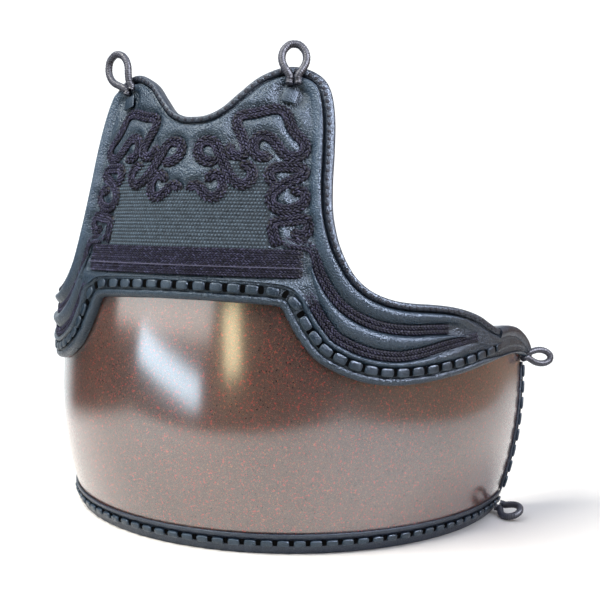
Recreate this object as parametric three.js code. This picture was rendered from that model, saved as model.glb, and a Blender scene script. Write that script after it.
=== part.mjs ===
// Kendo do: the chest and belly guard of kendo armour, standing on its lower rim.
// Millimetres. The wearer looks along -Y, the wearer's left is +X, and +Z is up.
// Every piece is wrapped on one barrel: a place is an angle round from the front centre line,
// a height above the floor and a lift out of the barrel's lacquered face.
import * as THREE from 'three';

// Barrel
const BELLY_WIDTH = 406;
const BELLY_DEPTH = 224;
const BELLY_HEIGHT = 100;
const RIM_NARROWING = 0.084;
const CHEST_HEIGHT = 350;
const CHEST_NARROWING = 0.1875;
const WALL = 4;
const RIM_SIDE_ANGLE = 91.5;

// Chest board: its lower edge at the centre, and the rise from there to the horns
const BOARD_BASE = 180;
const BOARD_RISE = 166;
const BOARD_THICK = 6.5;
const BOARD_SEAT_GAP = 0.6;
const EDGE_ROUND = 1.5;
const LACE_BAND = 12.5;
const ROLL_WIDTH = 7.2;
const ROLL_TAIL_WIDTH = 4.5;
const ROLL_RISE = 4.6;
const MIDDLE_RIDGE_RISE = 4.2;
const LOW_RIDGE_WIDTH = 3;
const LOW_RIDGE_TAIL_WIDTH = 9.5;
const LOW_RIDGE_RISE = 2.6;
const SHELL_INSET = 8;

// Leather edges
const LEATHER = 1.5;
const BAND_WIDTH = 6.5;
const CAP_WIDTH = 8;
const RIM_BAND_HEIGHT = 15.5;
const RIM_BAND_BACK_HEIGHT = 13;
const RIM_BAND_SOLE = 2;
const RIM_STEPS = 44;
const SIDE_BAND_WIDTH = 8;
const GAP = 0.3;

// Laced thong
const THONG_WIDTH = 4.8;
const THONG_THICK = 1;
const BOARD_THONG_INSET = 9.2;
const RIM_THONG_HEIGHT = 9.4;
const SIDE_THONG_INSET = 4.6;

// Braided double cord and the woven panel
const CORD_WIDTH = 6;
const CORD_RISE = 3;
const CORD_SPACING = 6.4;
const CORD_STEP = 7;
const BED_CLEARANCE = 0.8;
const ROWS = 3;
const ROWS_TOP_RISE = 36.8;
const ROWS_ANGLE = 25.4;
const WEAVE_THICK = 1;
const WEAVE_ANGLE = 16.6;
const WEAVE_HEIGHT = 42.5;
const WEAVE_COLUMNS = 8;
const WEAVE_MARGIN = 7;

// Small square patches and leather loops
const PATCH_SIZE = 10;
const PATCH_THICK = 1.2;
const PATCH_TURN = 14;
const LOOP_THICK = 4.8;
const LOOP_SIDES = 6;
const LOOP_STEPS = 16;
const RIM_LOOP_HEIGHT = 8.356;

// Ribs of the chest board, from the front centre line to the side edge. Each has the angle and the
// height of its lower end and of its upper end, in degrees and as shares of the board's rise.
const RIB_COLUMNS = ['lowAngle', 'lowUp', 'topAngle', 'topUp'];
const RIBS = [
  [0, 0.006, 0, 0.78],
  [3.4, 0.006, 3, 0.786],
  [7, 0.005, 6.3, 0.816],
  [10.8, 0.002, 10, 0.88],
  [14.3, 0, 14, 0.946],
  [17.2, -0.003, 18.5, 0.988],
  [19.3, -0.006, 22.5, 1],
  [20.3, -0.008, 26.5, 0.985],
  [20.9, -0.01, 29.6, 0.946],
  [21.3, -0.013, 31.2, 0.88],
  [21.6, -0.018, 31.8, 0.771],
  [21.8, -0.023, 31.6, 0.633],
  [22, -0.03, 31.2, 0.494],
  [22.2, -0.038, 31.3, 0.373],
  [22.5, -0.052, 32.2, 0.271],
  [23, -0.072, 33.2, 0.211],
  [23.8, -0.102, 34.3, 0.163],
  [25.4, -0.154, 35.6, 0.12],
  [28, -0.221, 37.1, 0.087],
  [31.2, -0.266, 39, 0.058],
  [35, -0.303, 41.4, 0.035],
  [39.4, -0.329, 44.3, 0.018],
  [44.5, -0.34, 48, 0.008],
  [50, -0.336, 52.5, 0.002],
  [55.5, -0.323, 57, -0.008],
  [61, -0.306, 61.5, -0.027],
  [66, -0.287, 65.5, -0.054],
  [70.5, -0.271, 69, -0.09],
  [74.5, -0.257, 72.5, -0.117],
  [79, -0.251, 77, -0.111],
  [84, -0.254, 82, -0.127],
  [89, -0.271, 87, -0.163],
  [93.5, -0.295, 92, -0.208],
  [96.5, -0.325, 96.5, -0.259],
].map((row) => Object.fromEntries(RIB_COLUMNS.map((name, column) => [name, row[column]])));

// Ribs where the forms of the board begin and end
const ROLL_STARTS = 6;
const ROLL_FULL = 9;
const RIDGE_STARTS = 14;
const RIDGE_FULL = 17;
const LOW_RIDGE_STARTS = 9;
const LOW_RIDGE_FULL = 13;
const TAIL_STARTS = 19;
const TAIL_FULL = 25;
const FADE_STARTS = 24;
const FADE_FULL = 26.5;
const CAP_STARTS = 28;
const SQUEEZE = 1.5;
const TIP_BLEND = 2;
const UPPER_CORD_STARTS = 15;
const UPPER_CORD_ENDS = 23;
const LOWER_CORD_STARTS = 10;
const LOWER_CORD_ENDS = 25;

// Routes of the cloud cords on the wearer's left half: degrees round from the centre line, and
// percent of the board's rise. The right half mirrors them.
const CLOUD_CORDS = {
  curl: [[1.05, 45.6], [1.5, 47.3], [2.5, 48.2], [3.7, 47.2], [4.8, 44.6], [6.2, 43], [7.6, 43.6],
    [8.5, 46.2], [8.6, 49.6], [7.8, 52.2], [6.5, 53], [5.4, 51.6], [5.3, 49.6]],
  spiral: [[5.1, 58.3], [3.1, 59.6], [2, 62.9], [2.5, 66.1], [4.2, 67.4], [5.9, 66.1], [7, 62.6],
    [8, 58.6], [9.2, 54.8], [10.1, 51.8], [11.4, 49.4], [13, 48.4], [14.4, 50.4], [14.7, 53.4],
    [14, 56], [12.9, 56.6], [12.2, 55]],
  arch: [[9.7, 66], [9.2, 63.6], [9.7, 61.5], [11.2, 60.8], [12.4, 61.6], [12.7, 64], [12.2, 67.2],
    [11.3, 70.8], [10.4, 73.8], [10.4, 76.8], [11.6, 78.5], [13.6, 78.9], [15.7, 79.9], [17.9, 81],
    [19.8, 80.8], [21.1, 79.1], [21.7, 76.3], [22.3, 73.3], [23.2, 70.6], [24.5, 68.3], [25.4, 65.4],
    [25, 62.4], [23.6, 60.8], [21.8, 61], [20.4, 62.9], [19.3, 66], [17.8, 68.8], [16.2, 69.6],
    [14.9, 68.3], [14.4, 65.3], [14.8, 62.1], [16, 60.5], [17.3, 60.7], [17.9, 62.2]],
  column: [[18.3, 51], [18.1, 54], [19.6, 56.2], [22.2, 56.4], [24.3, 56.3], [25.4, 54.6], [24.7, 52.6],
    [22.7, 50.8], [20.8, 48.6], [19.3, 46], [18.6, 43.2], [18.9, 40.6], [20.4, 38.8], [22.2, 38.5],
    [24.1, 39.8], [25.4, 42], [25.6, 44.6], [24.9, 46.4], [23.7, 46.6], [23, 45]],
  hook: [[23.2, 30.2], [24, 28.6], [25.1, 28.2], [25.9, 29.1], [26.5, 31.8], [26, 34.3], [25, 35],
    [23, 34.3], [20.8, 33.8], [19.3, 32.4], [19.4, 29.2], [19.8, 26.2]],
};
const UPPER_WING_CORD_HEAD = [[22.9, 24.7], [25, 24.4], [26.8, 23.2], [27.7, 20.6]];

const radians = THREE.MathUtils.degToRad;
const degrees = THREE.MathUtils.radToDeg;
const mix = THREE.MathUtils.lerp;
const ramp = (value, start, full) => THREE.MathUtils.clamp((value - start) / (full - start), 0, 1);

// Share of the belly's girth at a height, and how fast it changes there
function girthShare(height) {
  if (height < BELLY_HEIGHT) {
    return 1 - RIM_NARROWING * ((BELLY_HEIGHT - height) / BELLY_HEIGHT) ** 2;
  }
  return 1 - CHEST_NARROWING * ((height - BELLY_HEIGHT) / (CHEST_HEIGHT - BELLY_HEIGHT)) ** 2;
}

function girthSlope(height) {
  if (height < BELLY_HEIGHT) {
    return 2 * RIM_NARROWING * (BELLY_HEIGHT - height) / BELLY_HEIGHT ** 2;
  }
  return -2 * CHEST_NARROWING * (height - BELLY_HEIGHT) / (CHEST_HEIGHT - BELLY_HEIGHT) ** 2;
}

const halfWidth = BELLY_WIDTH / 2;

// The barrel's outward direction at a place, at a right angle to its face
function outward(place) {
  const turn = radians(place.angle);
  const share = girthShare(place.height);
  return new THREE.Vector3(
    BELLY_DEPTH * share * Math.sin(turn),
    -halfWidth * share * Math.cos(turn),
    -halfWidth * BELLY_DEPTH * share * girthSlope(place.height),
  ).normalize();
}

function onFace(place) {
  const turn = radians(place.angle);
  const share = girthShare(place.height);
  return new THREE.Vector3(
    halfWidth * share * Math.sin(turn),
    -BELLY_DEPTH * share * Math.cos(turn),
    place.height,
  );
}

function lifted(place, lift) {
  return onFace(place).addScaledVector(outward(place), lift);
}

// The same, but lifted level with the floor, for the rim
function liftedLevel(place, lift) {
  const level = outward(place).setZ(0).normalize();
  return onFace(place).addScaledVector(level, lift);
}

// Millimetres of face for each radian round, and for each millimetre of height
function roundScale(place) {
  const turn = radians(place.angle);
  const share = girthShare(place.height);
  return share * Math.hypot(halfWidth * Math.cos(turn), BELLY_DEPTH * Math.sin(turn));
}

function riseScale(place) {
  return Math.hypot(1, BELLY_DEPTH * girthSlope(place.height));
}

function moved(place, round, up) {
  return {
    angle: place.angle + degrees(round / roundScale(place)),
    height: place.height + up / riseScale(place),
  };
}

// Direction of a run of places at one of them, measured on the face
function directions(places) {
  return places.map((place, index) => {
    const before = places[Math.max(index - 1, 0)];
    const after = places[Math.min(index + 1, places.length - 1)];
    const round = radians(after.angle - before.angle) * roundScale(place);
    const up = (after.height - before.height) * riseScale(place);
    const length = Math.hypot(round, up);
    return { round: round / length, up: up / length };
  });
}

// A place beside a run: to its left for a positive distance
function beside(place, direction, distance) {
  return moved(place, -direction.up * distance, direction.round * distance);
}

// Closed skin through sections of equal length, with its two ends filled
function loft(sections, endPlan) {
  const around = sections[0].length;
  const faces = [];
  for (let row = 0; row + 1 < sections.length; row += 1) {
    for (let corner = 0; corner < around; corner += 1) {
      const next = (corner + 1) % around;
      const here = row * around;
      const there = here + around;
      faces.push([here + corner, here + next, there + next]);
      faces.push([here + corner, there + next, there + corner]);
    }
  }
  const last = (sections.length - 1) * around;
  for (const [a, b, c] of endPlan ? planFaces(endPlan) : stripFaces(around)) {
    faces.push([a, c, b]);
    faces.push([last + a, last + b, last + c]);
  }
  return solid(sections.flat(), faces);
}

// Faces of a flat end, turned the way its outline runs
function planFaces(endPlan) {
  const plan = endPlan.map(([x, y]) => new THREE.Vector2(x, y));
  const clockwise = THREE.ShapeUtils.isClockWise(plan);
  return THREE.ShapeUtils.triangulateShape(plan, []).map(([a, b, c]) => (
    THREE.ShapeUtils.isClockWise([plan[a], plan[b], plan[c]]) === clockwise ? [a, b, c] : [a, c, b]
  ));
}

// Faces of an end whose second half runs back beside its first half
function stripFaces(around) {
  const faces = [];
  for (let row = 0; row + 1 < around / 2; row += 1) {
    const across = around - 1 - row;
    faces.push([row, row + 1, across - 1], [row, across - 1, across]);
  }
  return faces;
}

function solid(points, faces) {
  const volume = faces.reduce((sum, [a, b, c]) => (
    sum + points[a].dot(new THREE.Vector3().crossVectors(points[b], points[c]))
  ), 0);
  const outFaces = volume < 0 ? faces.map(([a, b, c]) => [a, c, b]) : faces;
  const geometry = new THREE.BufferGeometry();
  geometry.setAttribute('position', new THREE.Float32BufferAttribute(
    points.flatMap((point) => point.toArray()), 3,
  ));
  geometry.setIndex(outFaces.flat());
  geometry.computeVertexNormals();
  return geometry;
}

// A bar of one section laid along a run of places: each corner has a distance to the left of the
// run and a lift
function laid(places, section, support = () => 0) {
  const runs = directions(places);
  return loft(places.map((place, index) => section.map(([side, lift]) => {
    const corner = beside(place, runs[index], side);
    return lifted(corner, lift + support(corner));
  })), section);
}

// A smooth run of places through chosen ones, with even steps
function smoothRun(chosen, step) {
  const scale = radians(1) * halfWidth;
  const curve = new THREE.CatmullRomCurve3(
    chosen.map((place) => new THREE.Vector3(place.angle * scale, place.height, 0)), false, 'centripetal',
  );
  const steps = Math.max(2, Math.round(curve.getLength() / step));
  return curve.getSpacedPoints(steps).map((point) => ({ angle: point.x / scale, height: point.y }));
}

const heightAt = (share) => BOARD_BASE + BOARD_RISE * share;
const routeOf = (pairs, side) => pairs.map(([angle, percent]) => (
  { angle: side * angle, height: heightAt(percent / 100) }
));

// All ribs from the wearer's right side edge to the left one
const ribs = [];
for (let number = -(RIBS.length - 1); number < RIBS.length; number += 1) {
  const row = RIBS[Math.abs(number)];
  const side = Math.sign(number);
  ribs.push({
    number: Math.abs(number),
    low: { angle: side * row.lowAngle, height: heightAt(row.lowUp) },
    top: { angle: side * row.topAngle, height: heightAt(row.topUp) },
  });
}
const lowRun = ribs.map((rib) => rib.low);
const topRun = ribs.map((rib) => rib.top);
const lowDirections = directions(lowRun);
const topDirections = directions(topRun);
const fromLow = (index, distance) => beside(lowRun[index], lowDirections[index], distance);
const fromTop = (index, distance) => beside(topRun[index], topDirections[index], -distance);
const lastRib = RIBS.length - 1;
const centreIndex = lastRib;

// Widths and shares of the board's forms at a rib
const cordBed = CORD_WIDTH + 2 * BED_CLEARANCE;
const edgeInset = LEATHER + GAP;
const bandInset = BAND_WIDTH + GAP;
const tail = (number) => ramp(number, TAIL_STARTS, TAIL_FULL);
const rollWidth = (number) => mix(ROLL_WIDTH, ROLL_TAIL_WIDTH, tail(number));
const lowRidgeWidth = (number) => mix(LOW_RIDGE_WIDTH, LOW_RIDGE_TAIL_WIDTH, tail(number));
const fade = (number) => 1 - ramp(number, FADE_STARTS, FADE_FULL);
const rollShare = (number) => ramp(number, ROLL_STARTS, ROLL_FULL) * fade(number);
const ridgeShare = (number) => ramp(number, RIDGE_STARTS, RIDGE_FULL) * fade(number);
const lowRidgeShare = (number) => ramp(number, LOW_RIDGE_STARTS, LOW_RIDGE_FULL) * fade(number);

function between(a, b, share) {
  return { angle: mix(a.angle, b.angle, share), height: mix(a.height, b.height, share) };
}

// A place on the last rib, kept inside the leather folded over the side edge
function insetFromSide(index, place) {
  if (index === 0) return moved(place, edgeInset, 0);
  if (index === ribs.length - 1) return moved(place, -edgeInset, 0);
  return place;
}

// Chest board: one rib's outline, up the back and down the padded face
function boardSection(index) {
  const number = ribs[index].number;
  const roll = rollWidth(number);
  const lowRidge = lowRidgeWidth(number);
  const upperEdge = fromTop(index, edgeInset);
  const bedTop = fromTop(index, bandInset + roll);
  const bedEnd = fromTop(index, bandInset + roll + cordBed);
  const lowBedStart = fromLow(index, LACE_BAND + lowRidge);
  const lowBedEnd = fromLow(index, LACE_BAND + lowRidge + cordBed);
  const room = ramp(number, CAP_STARTS - SQUEEZE, CAP_STARTS);
  const squeeze = (place, share) => between(place, between(lowRun[index], topRun[index], share), room);
  const back = [0, 0.25, 0.5, 0.75, 1].map((share) => (
    lifted(insetFromSide(index, between(lowRun[index], upperEdge, share)), BOARD_SEAT_GAP)
  ));
  const rollUp = ROLL_RISE * rollShare(number);
  const ridgeUp = MIDDLE_RIDGE_RISE * ridgeShare(number);
  const lowUp = LOW_RIDGE_RISE * lowRidgeShare(number);
  const face = [
    [upperEdge, 0],
    [fromTop(index, bandInset), 0],
    [squeeze(fromTop(index, bandInset + roll * 0.3), 0.62), rollUp * 0.8],
    [squeeze(fromTop(index, bandInset + roll * 0.62), 0.56), rollUp],
    [squeeze(bedTop, 0.5), 0],
    [squeeze(bedEnd, 0.44), 0],
    [squeeze(between(bedEnd, lowBedEnd, 0.25), 0.4), ridgeUp * 0.8],
    [squeeze(between(bedEnd, lowBedEnd, 0.6), 0.36), ridgeUp],
    [squeeze(lowBedEnd, 0.32), 0],
    [squeeze(lowBedStart, 0.26), 0],
    [squeeze(fromLow(index, LACE_BAND + lowRidge * 0.5), 0.22), lowUp],
    [squeeze(fromLow(index, LACE_BAND), 0.18), 0],
    [fromLow(index, EDGE_ROUND), 0],
    [lowRun[index], -EDGE_ROUND],
  ].map(([place, rise]) => lifted(insetFromSide(index, place), BOARD_THICK + rise));
  return back.concat(face);
}

// Plan of a board end: its back from low to top, then its face from top to low
const boardEndPlan = [
  ...[0, 0.25, 0.5, 0.75, 1].map((share) => [share, 0]),
  ...[1, 0.9, 0.8, 0.7, 0.6, 0.5, 0.42, 0.36, 0.32, 0.26, 0.22, 0.18, 0.1, 0].map((share) => [share, 1]),
];

function boardSolid() {
  return loft(ribs.map((rib, index) => boardSection(index)), boardEndPlan);
}

// Barrel wall, from the rim to behind the board. Its rows are at shares of the way from the rim up to
// a shoulder line behind the board's laced edge, and the last is its top edge.
const rimHeight = RIM_BAND_SOLE + GAP;
const outerSideAngle = RIBS[lastRib].lowAngle;
const SHELL_SHARES = [0.27, 0.5, 0.74];

function rimPlace(index, height) {
  const angle = lowRun[index].angle * RIM_SIDE_ANGLE / outerSideAngle;
  return { angle, height };
}

function shoulderPlace(index) {
  const middle = between(lowRun[index], topRun[index], 0.4);
  const tipShare = ramp(ribs[index].number, CAP_STARTS - TIP_BLEND, CAP_STARTS);
  return between(fromLow(index, LACE_BAND), middle, tipShare);
}

function shellRows(index, lowest) {
  const rim = rimPlace(index, rimHeight);
  const shoulder = shoulderPlace(index);
  const first = (lowest - rimHeight) / (shoulder.height - rimHeight);
  return [first, ...SHELL_SHARES, 1].map((share) => between(rim, shoulder, share));
}

function shellSection(index) {
  const number = ribs[index].number;
  const inset = mix(SHELL_INSET, edgeInset, ramp(number, CAP_STARTS - TIP_BLEND, CAP_STARTS));
  const top = number === lastRib ? { ...topRun[index] } : fromTop(index, inset);
  if (number === lastRib) top.height -= 2 * edgeInset;
  const levels = [rimPlace(index, rimHeight), ...shellRows(index, RIM_BAND_HEIGHT), top];
  const placed = levels.map((place) => insetFromSide(index, place));
  const outer = placed.map((place) => lifted(place, 0));
  const inner = placed.map((place) => lifted(place, -WALL)).reverse();
  return outer.concat(inner);
}

function shellSolid() {
  return loft(ribs.map((rib, index) => shellSection(index)));
}

// Stitched leather band round the board's upper edge, from wing to wing
const bandFace = BOARD_THICK + GAP;

function boardBand() {
  const section = [
    [0, BOARD_SEAT_GAP],
    [0, BOARD_THICK],
    [-LEATHER, bandFace + LEATHER],
    [-BAND_WIDTH, bandFace + LEATHER],
    [-BAND_WIDTH, bandFace],
    [-LEATHER, bandFace],
    [-LEATHER, BOARD_SEAT_GAP],
  ];
  const start = lastRib - CAP_STARTS;
  return laidFrom(topRun, topDirections, start, ribs.length - start, section);
}

// Part of a run of ribs, with the directions of the whole run
function laidFrom(run, runDirections, start, end, section) {
  const sections = [];
  for (let index = start; index < end; index += 1) {
    sections.push(section.map(([side, lift]) => (
      lifted(beside(run[index], runDirections[index], side), lift)
    )));
  }
  return loft(sections, section);
}

// Leather cap folded over a wing's tip and the barrel's corner
function cornerCap(side) {
  const places = [];
  for (let number = CAP_STARTS; number <= lastRib; number += 1) {
    places.push({ ...topRun[centreIndex + number] });
  }
  places[0] = between(places[0], places[1], 0.06);
  const tip = places[places.length - 1];
  const foot = lowRun[centreIndex + lastRib];
  places.push(between(tip, foot, 0.5), between(tip, foot, 0.82));
  const front = BOARD_THICK + GAP;
  const back = -WALL - GAP;
  const section = [
    [0, back - LEATHER + 1],
    [0, BOARD_THICK],
    [-LEATHER, front + LEATHER],
    [-CAP_WIDTH * 0.55, front + LEATHER + 0.6],
    [-CAP_WIDTH, front + GAP],
    [-CAP_WIDTH, front],
    [-LEATHER, front],
    [-LEATHER, back],
    [-CAP_WIDTH * 0.8, back],
    [-CAP_WIDTH * 0.8, back - LEATHER],
    [-1, back - LEATHER],
  ];
  const runs = directions(places);
  return loft(places.map((place, index) => section.map(([distance, lift]) => {
    const corner = beside(place, runs[index], distance);
    return lifted({ angle: side * corner.angle, height: corner.height }, lift);
  })), section);
}

// Leather folded round the lower rim, with a flat sole
const rimLean = Math.atan(BELLY_DEPTH * girthSlope(0));
const rimBack = -WALL / Math.cos(rimLean) - 3 * GAP;

// The same section at even steps round the rim; its corners are a level lift and a height
function rimRing(section) {
  const sections = [];
  for (let step = 0; step <= RIM_STEPS; step += 1) {
    const angle = mix(-RIM_SIDE_ANGLE, RIM_SIDE_ANGLE, step / RIM_STEPS);
    sections.push(section.map(([lift, height]) => liftedLevel({ angle, height }, lift)));
  }
  return loft(sections, section);
}

function rimBand() {
  const section = [
    [LEATHER + GAP, 0],
    [LEATHER + GAP, RIM_BAND_HEIGHT],
    [GAP, RIM_BAND_HEIGHT],
    [GAP, RIM_BAND_SOLE],
    [rimBack, RIM_BAND_SOLE],
    [rimBack, RIM_BAND_BACK_HEIGHT],
    [rimBack - LEATHER, RIM_BAND_BACK_HEIGHT],
    [rimBack - LEATHER, 0],
  ];
  return rimRing(section);
}

function rimThong() {
  const face = LEATHER + 2 * GAP;
  const low = RIM_THONG_HEIGHT - THONG_WIDTH / 2;
  const high = RIM_THONG_HEIGHT + THONG_WIDTH / 2;
  const section = [[face, low], [face + THONG_THICK, low], [face + THONG_THICK, high], [face, high]];
  return rimRing(section);
}

// Leather folded round a side edge, from the rim band up to the corner cap
function sideRun(side) {
  const index = side > 0 ? ribs.length - 1 : 0;
  const places = shellRows(index, RIM_BAND_HEIGHT + GAP);
  const last = places.length - 1;
  const end = (lowRun[index].height - 4 * GAP - places[last - 1].height)
    / (places[last].height - places[last - 1].height);
  places[last] = between(places[last - 1], places[last], end);
  return places;
}

function sideBand(side) {
  const back = -WALL - 3 * GAP;
  const section = [
    [0, back - LEATHER],
    [0, GAP + LEATHER],
    [SIDE_BAND_WIDTH, GAP + LEATHER],
    [SIDE_BAND_WIDTH, GAP],
    [LEATHER, GAP],
    [LEATHER, back],
    [SIDE_BAND_WIDTH, back],
    [SIDE_BAND_WIDTH, back - LEATHER],
  ];
  return laid(sideRun(side), section.map(([distance, lift]) => [side * distance, lift]));
}

function sideThong(side) {
  const low = GAP + LEATHER + GAP;
  const near = SIDE_THONG_INSET - THONG_WIDTH / 2;
  const far = SIDE_THONG_INSET + THONG_WIDTH / 2;
  const section = [[near, low], [near, low + THONG_THICK], [far, low + THONG_THICK], [far, low]];
  return laid(sideRun(side), section.map(([distance, lift]) => [side * distance, lift]));
}

function boardThong() {
  const low = BOARD_THICK + GAP;
  const near = BOARD_THONG_INSET - THONG_WIDTH / 2;
  const far = BOARD_THONG_INSET + THONG_WIDTH / 2;
  const section = [[near, low], [near, low + THONG_THICK], [far, low + THONG_THICK], [far, low]];
  const start = lastRib - CAP_STARTS;
  return laidFrom(lowRun, lowDirections, start, ribs.length - start, section);
}

// Woven panel on the board's flat field, under the lowest scrolls
const rowsTop = BOARD_BASE + ROWS_TOP_RISE;
const weaveBottom = rowsTop + GAP;
const weaveTop = weaveBottom + WEAVE_HEIGHT;

function weavePanel() {
  const low = BOARD_THICK + GAP;
  const sections = [];
  const heights = [0, 0.5, 1].map((share) => mix(weaveBottom, weaveTop, share));
  for (let column = -WEAVE_COLUMNS; column <= WEAVE_COLUMNS; column += 1) {
    const angle = WEAVE_ANGLE * column / WEAVE_COLUMNS;
    const face = heights.map((height) => lifted({ angle, height }, low + WEAVE_THICK));
    const back = heights.map((height) => lifted({ angle, height }, low)).reverse();
    sections.push(face.concat(back));
  }
  return loft(sections);
}

function overWeave(place) {
  const room = WEAVE_MARGIN / roundScale(place);
  const inAngle = Math.abs(place.angle) < WEAVE_ANGLE + degrees(room);
  const inHeight = place.height < weaveTop + WEAVE_MARGIN && place.height > weaveBottom;
  return inAngle && inHeight ? WEAVE_THICK + GAP : 0;
}

// Braided double cord: two rounded strands side by side
function cordSection(width = CORD_WIDTH) {
  const low = BOARD_THICK + GAP;
  return [
    [-width / 2, low],
    [-width * 0.38, low + CORD_RISE],
    [0, low + CORD_RISE * 0.7],
    [width * 0.38, low + CORD_RISE],
    [width / 2, low],
  ];
}

function cloudCord(pairs, side) {
  return laid(smoothRun(routeOf(pairs, side), CORD_STEP), cordSection(), overWeave);
}

function rowCord(row) {
  const height = rowsTop - CORD_SPACING * (row + 0.5);
  const ends = [{ angle: -ROWS_ANGLE, height }, { angle: ROWS_ANGLE, height }];
  return laid(smoothRun(ends, 2 * CORD_STEP), cordSection());
}

function mirroredRun(places, side) {
  return side > 0 ? places : places.map((place) => ({ angle: -place.angle, height: place.height }));
}

// Cords in the two beds of a wing
function upperWingCord(side) {
  const places = routeOf(UPPER_WING_CORD_HEAD, 1);
  for (let number = UPPER_CORD_STARTS; number <= UPPER_CORD_ENDS; number += 1) {
    places.push(fromTop(centreIndex + number, bandInset + rollWidth(number) + cordBed / 2));
  }
  return laid(smoothRun(mirroredRun(places, side), CORD_STEP), cordSection());
}

function lowerWingCord(side) {
  const places = [];
  for (let number = LOWER_CORD_STARTS; number <= LOWER_CORD_ENDS; number += 1) {
    places.push(fromLow(centreIndex + number, LACE_BAND + lowRidgeWidth(number) + cordBed / 2));
  }
  return laid(smoothRun(mirroredRun(places, side), CORD_STEP), cordSection());
}

// Small square leather patch under a top loop
const PATCH_PLACE = { angle: 21.6, up: 0.866 };

function patch(side) {
  const place = { angle: side * PATCH_PLACE.angle, height: heightAt(PATCH_PLACE.up) };
  const low = BOARD_THICK + GAP;
  const section = [[0, low], [0, low + PATCH_THICK], [PATCH_SIZE, low + PATCH_THICK], [PATCH_SIZE, low]];
  const turn = radians(-side * PATCH_TURN);
  const half = PATCH_SIZE / 2;
  const corner = (x, y) => moved(
    place, x * Math.cos(turn) - y * Math.sin(turn), x * Math.sin(turn) + y * Math.cos(turn),
  );
  const run = [corner(-half, -half), corner(half, -half)];
  return laid(run, section);
}

// Leather loops. Each stands on a seat: degrees round, a height or else a share of the board's rise
// above its base, and a lift. It leaves the seat along one direction, rings round along another and is
// opened along a third. Directions are shares outward, round towards the side edge, and up.
const LOOPS = {
  horn_loop_left: {
    side: 1, angle: 22.3, up: 0.912, lift: BOARD_THICK + LOOP_THICK / 2 + GAP,
    leave: [0, 0, 1], along: [0, 0, 1], across: [0, 1, 0], length: 30, width: 23, bow: 2.4,
  },
  horn_loop_right: {
    side: -1, angle: 22.8, up: 0.912, lift: BOARD_THICK + LOOP_THICK / 2 + GAP,
    leave: [0, 0, 1], along: [0.4, 0.8, 1], across: [0, 1, -0.8], length: 34, width: 22, bow: 2.4,
  },
  upper_side_loop_left: {
    side: 1, angle: 96.5, up: -0.283, lift: 1.2,
    leave: [0, 1, 0], along: [0.66, 0.75, -0.2], across: [0, 0, 1], length: 25, width: 16, bow: 0,
  },
  upper_side_loop_right: {
    side: -1, angle: 96.5, up: -0.283, lift: 1.2,
    leave: [0, 1, 0], along: [0.66, 0.75, -0.2], across: [0, 0, 1], length: 25, width: 16, bow: 0,
  },
  lower_side_loop_left: {
    side: 1, angle: 87, height: RIM_LOOP_HEIGHT, lift: 2 * LEATHER + 5 * GAP,
    leave: [1, 0, 0.2], along: [0.64, -0.7, 0.22], across: [0, 0.9, 0.44], length: 22, width: 19, bow: 0,
  },
  lower_side_loop_right: {
    side: -1, angle: 87, height: RIM_LOOP_HEIGHT, lift: 2 * LEATHER + 5 * GAP,
    leave: [1, 0, 0.2], along: [0.64, -0.7, 0.22], across: [0, 0.9, 0.44], length: 22, width: 19, bow: 0,
  },
};

// A loop's half outline: shares of the length, of the opening and of the bow
const LOOP_SHAPE = [
  [0.12, 0.1, 0.6],
  [0.28, 0.46, 1],
  [0.5, 0.9, 1],
  [0.72, 1, 1],
  [0.91, 0.7, 1],
  [1, 0.26, 1],
];

function loopSolid(piece) {
  const radius = LOOP_THICK / 2;
  const neck = radius + GAP;
  const seat = { angle: piece.side * piece.angle, height: piece.height ?? heightAt(piece.up) };
  const out = outward(seat);
  const round = new THREE.Vector3(0, 0, 1).cross(out).normalize();
  const up = new THREE.Vector3().crossVectors(out, round);
  round.multiplyScalar(piece.side);
  const direction = (shares) => new THREE.Vector3()
    .addScaledVector(out, shares[0])
    .addScaledVector(round, shares[1])
    .addScaledVector(up, shares[2])
    .normalize();
  const leave = direction(piece.leave);
  const along = direction(piece.along);
  const across = direction(piece.across);
  across.addScaledVector(along, -across.dot(along)).normalize();
  const start = lifted(seat, piece.lift).addScaledVector(leave, 2 * GAP);
  const half = piece.width / 2 - neck;
  const leg = (side) => [
    start.clone().addScaledVector(across, side * neck),
    start.clone().addScaledVector(across, side * neck).addScaledVector(leave, radius),
    ...LOOP_SHAPE.map(([reach, opening, bow]) => (
      start.clone()
        .addScaledVector(leave, radius)
        .addScaledVector(along, reach * (piece.length - radius))
        .addScaledVector(across, side * (neck * (1 - opening * 0.4) + half * opening))
        .addScaledVector(out, bow * piece.bow)
    )),
  ];
  const path = new THREE.CatmullRomCurve3([...leg(1), ...leg(-1).reverse()], false, 'centripetal');
  const circle = new THREE.Shape();
  for (let corner = 0; corner < LOOP_SIDES; corner += 1) {
    const turn = 2 * Math.PI * corner / LOOP_SIDES;
    const x = radius * Math.cos(turn);
    const y = radius * Math.sin(turn);
    if (corner === 0) circle.moveTo(x, y);
    else circle.lineTo(x, y);
  }
  circle.closePath();
  return new THREE.ExtrudeGeometry(circle, { steps: LOOP_STEPS, extrudePath: path });
}

// Finishes
const lacquer = { color: 0x4a2a26, roughness: 0.18, metalness: 0.1 };
const leather = { color: 0x2f3b45, roughness: 0.5, metalness: 0 };
const thong = { color: 0x34414c, roughness: 0.45, metalness: 0 };
const cloth = { color: 0x35464f, roughness: 0.85, metalness: 0 };
const braid = { color: 0x1f1c38, roughness: 0.7, metalness: 0 };

const dou = new THREE.Group();

function add(name, geometry, finish) {
  const mesh = new THREE.Mesh(geometry, new THREE.MeshStandardMaterial(finish));
  mesh.name = name;
  dou.add(mesh);
}

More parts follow.
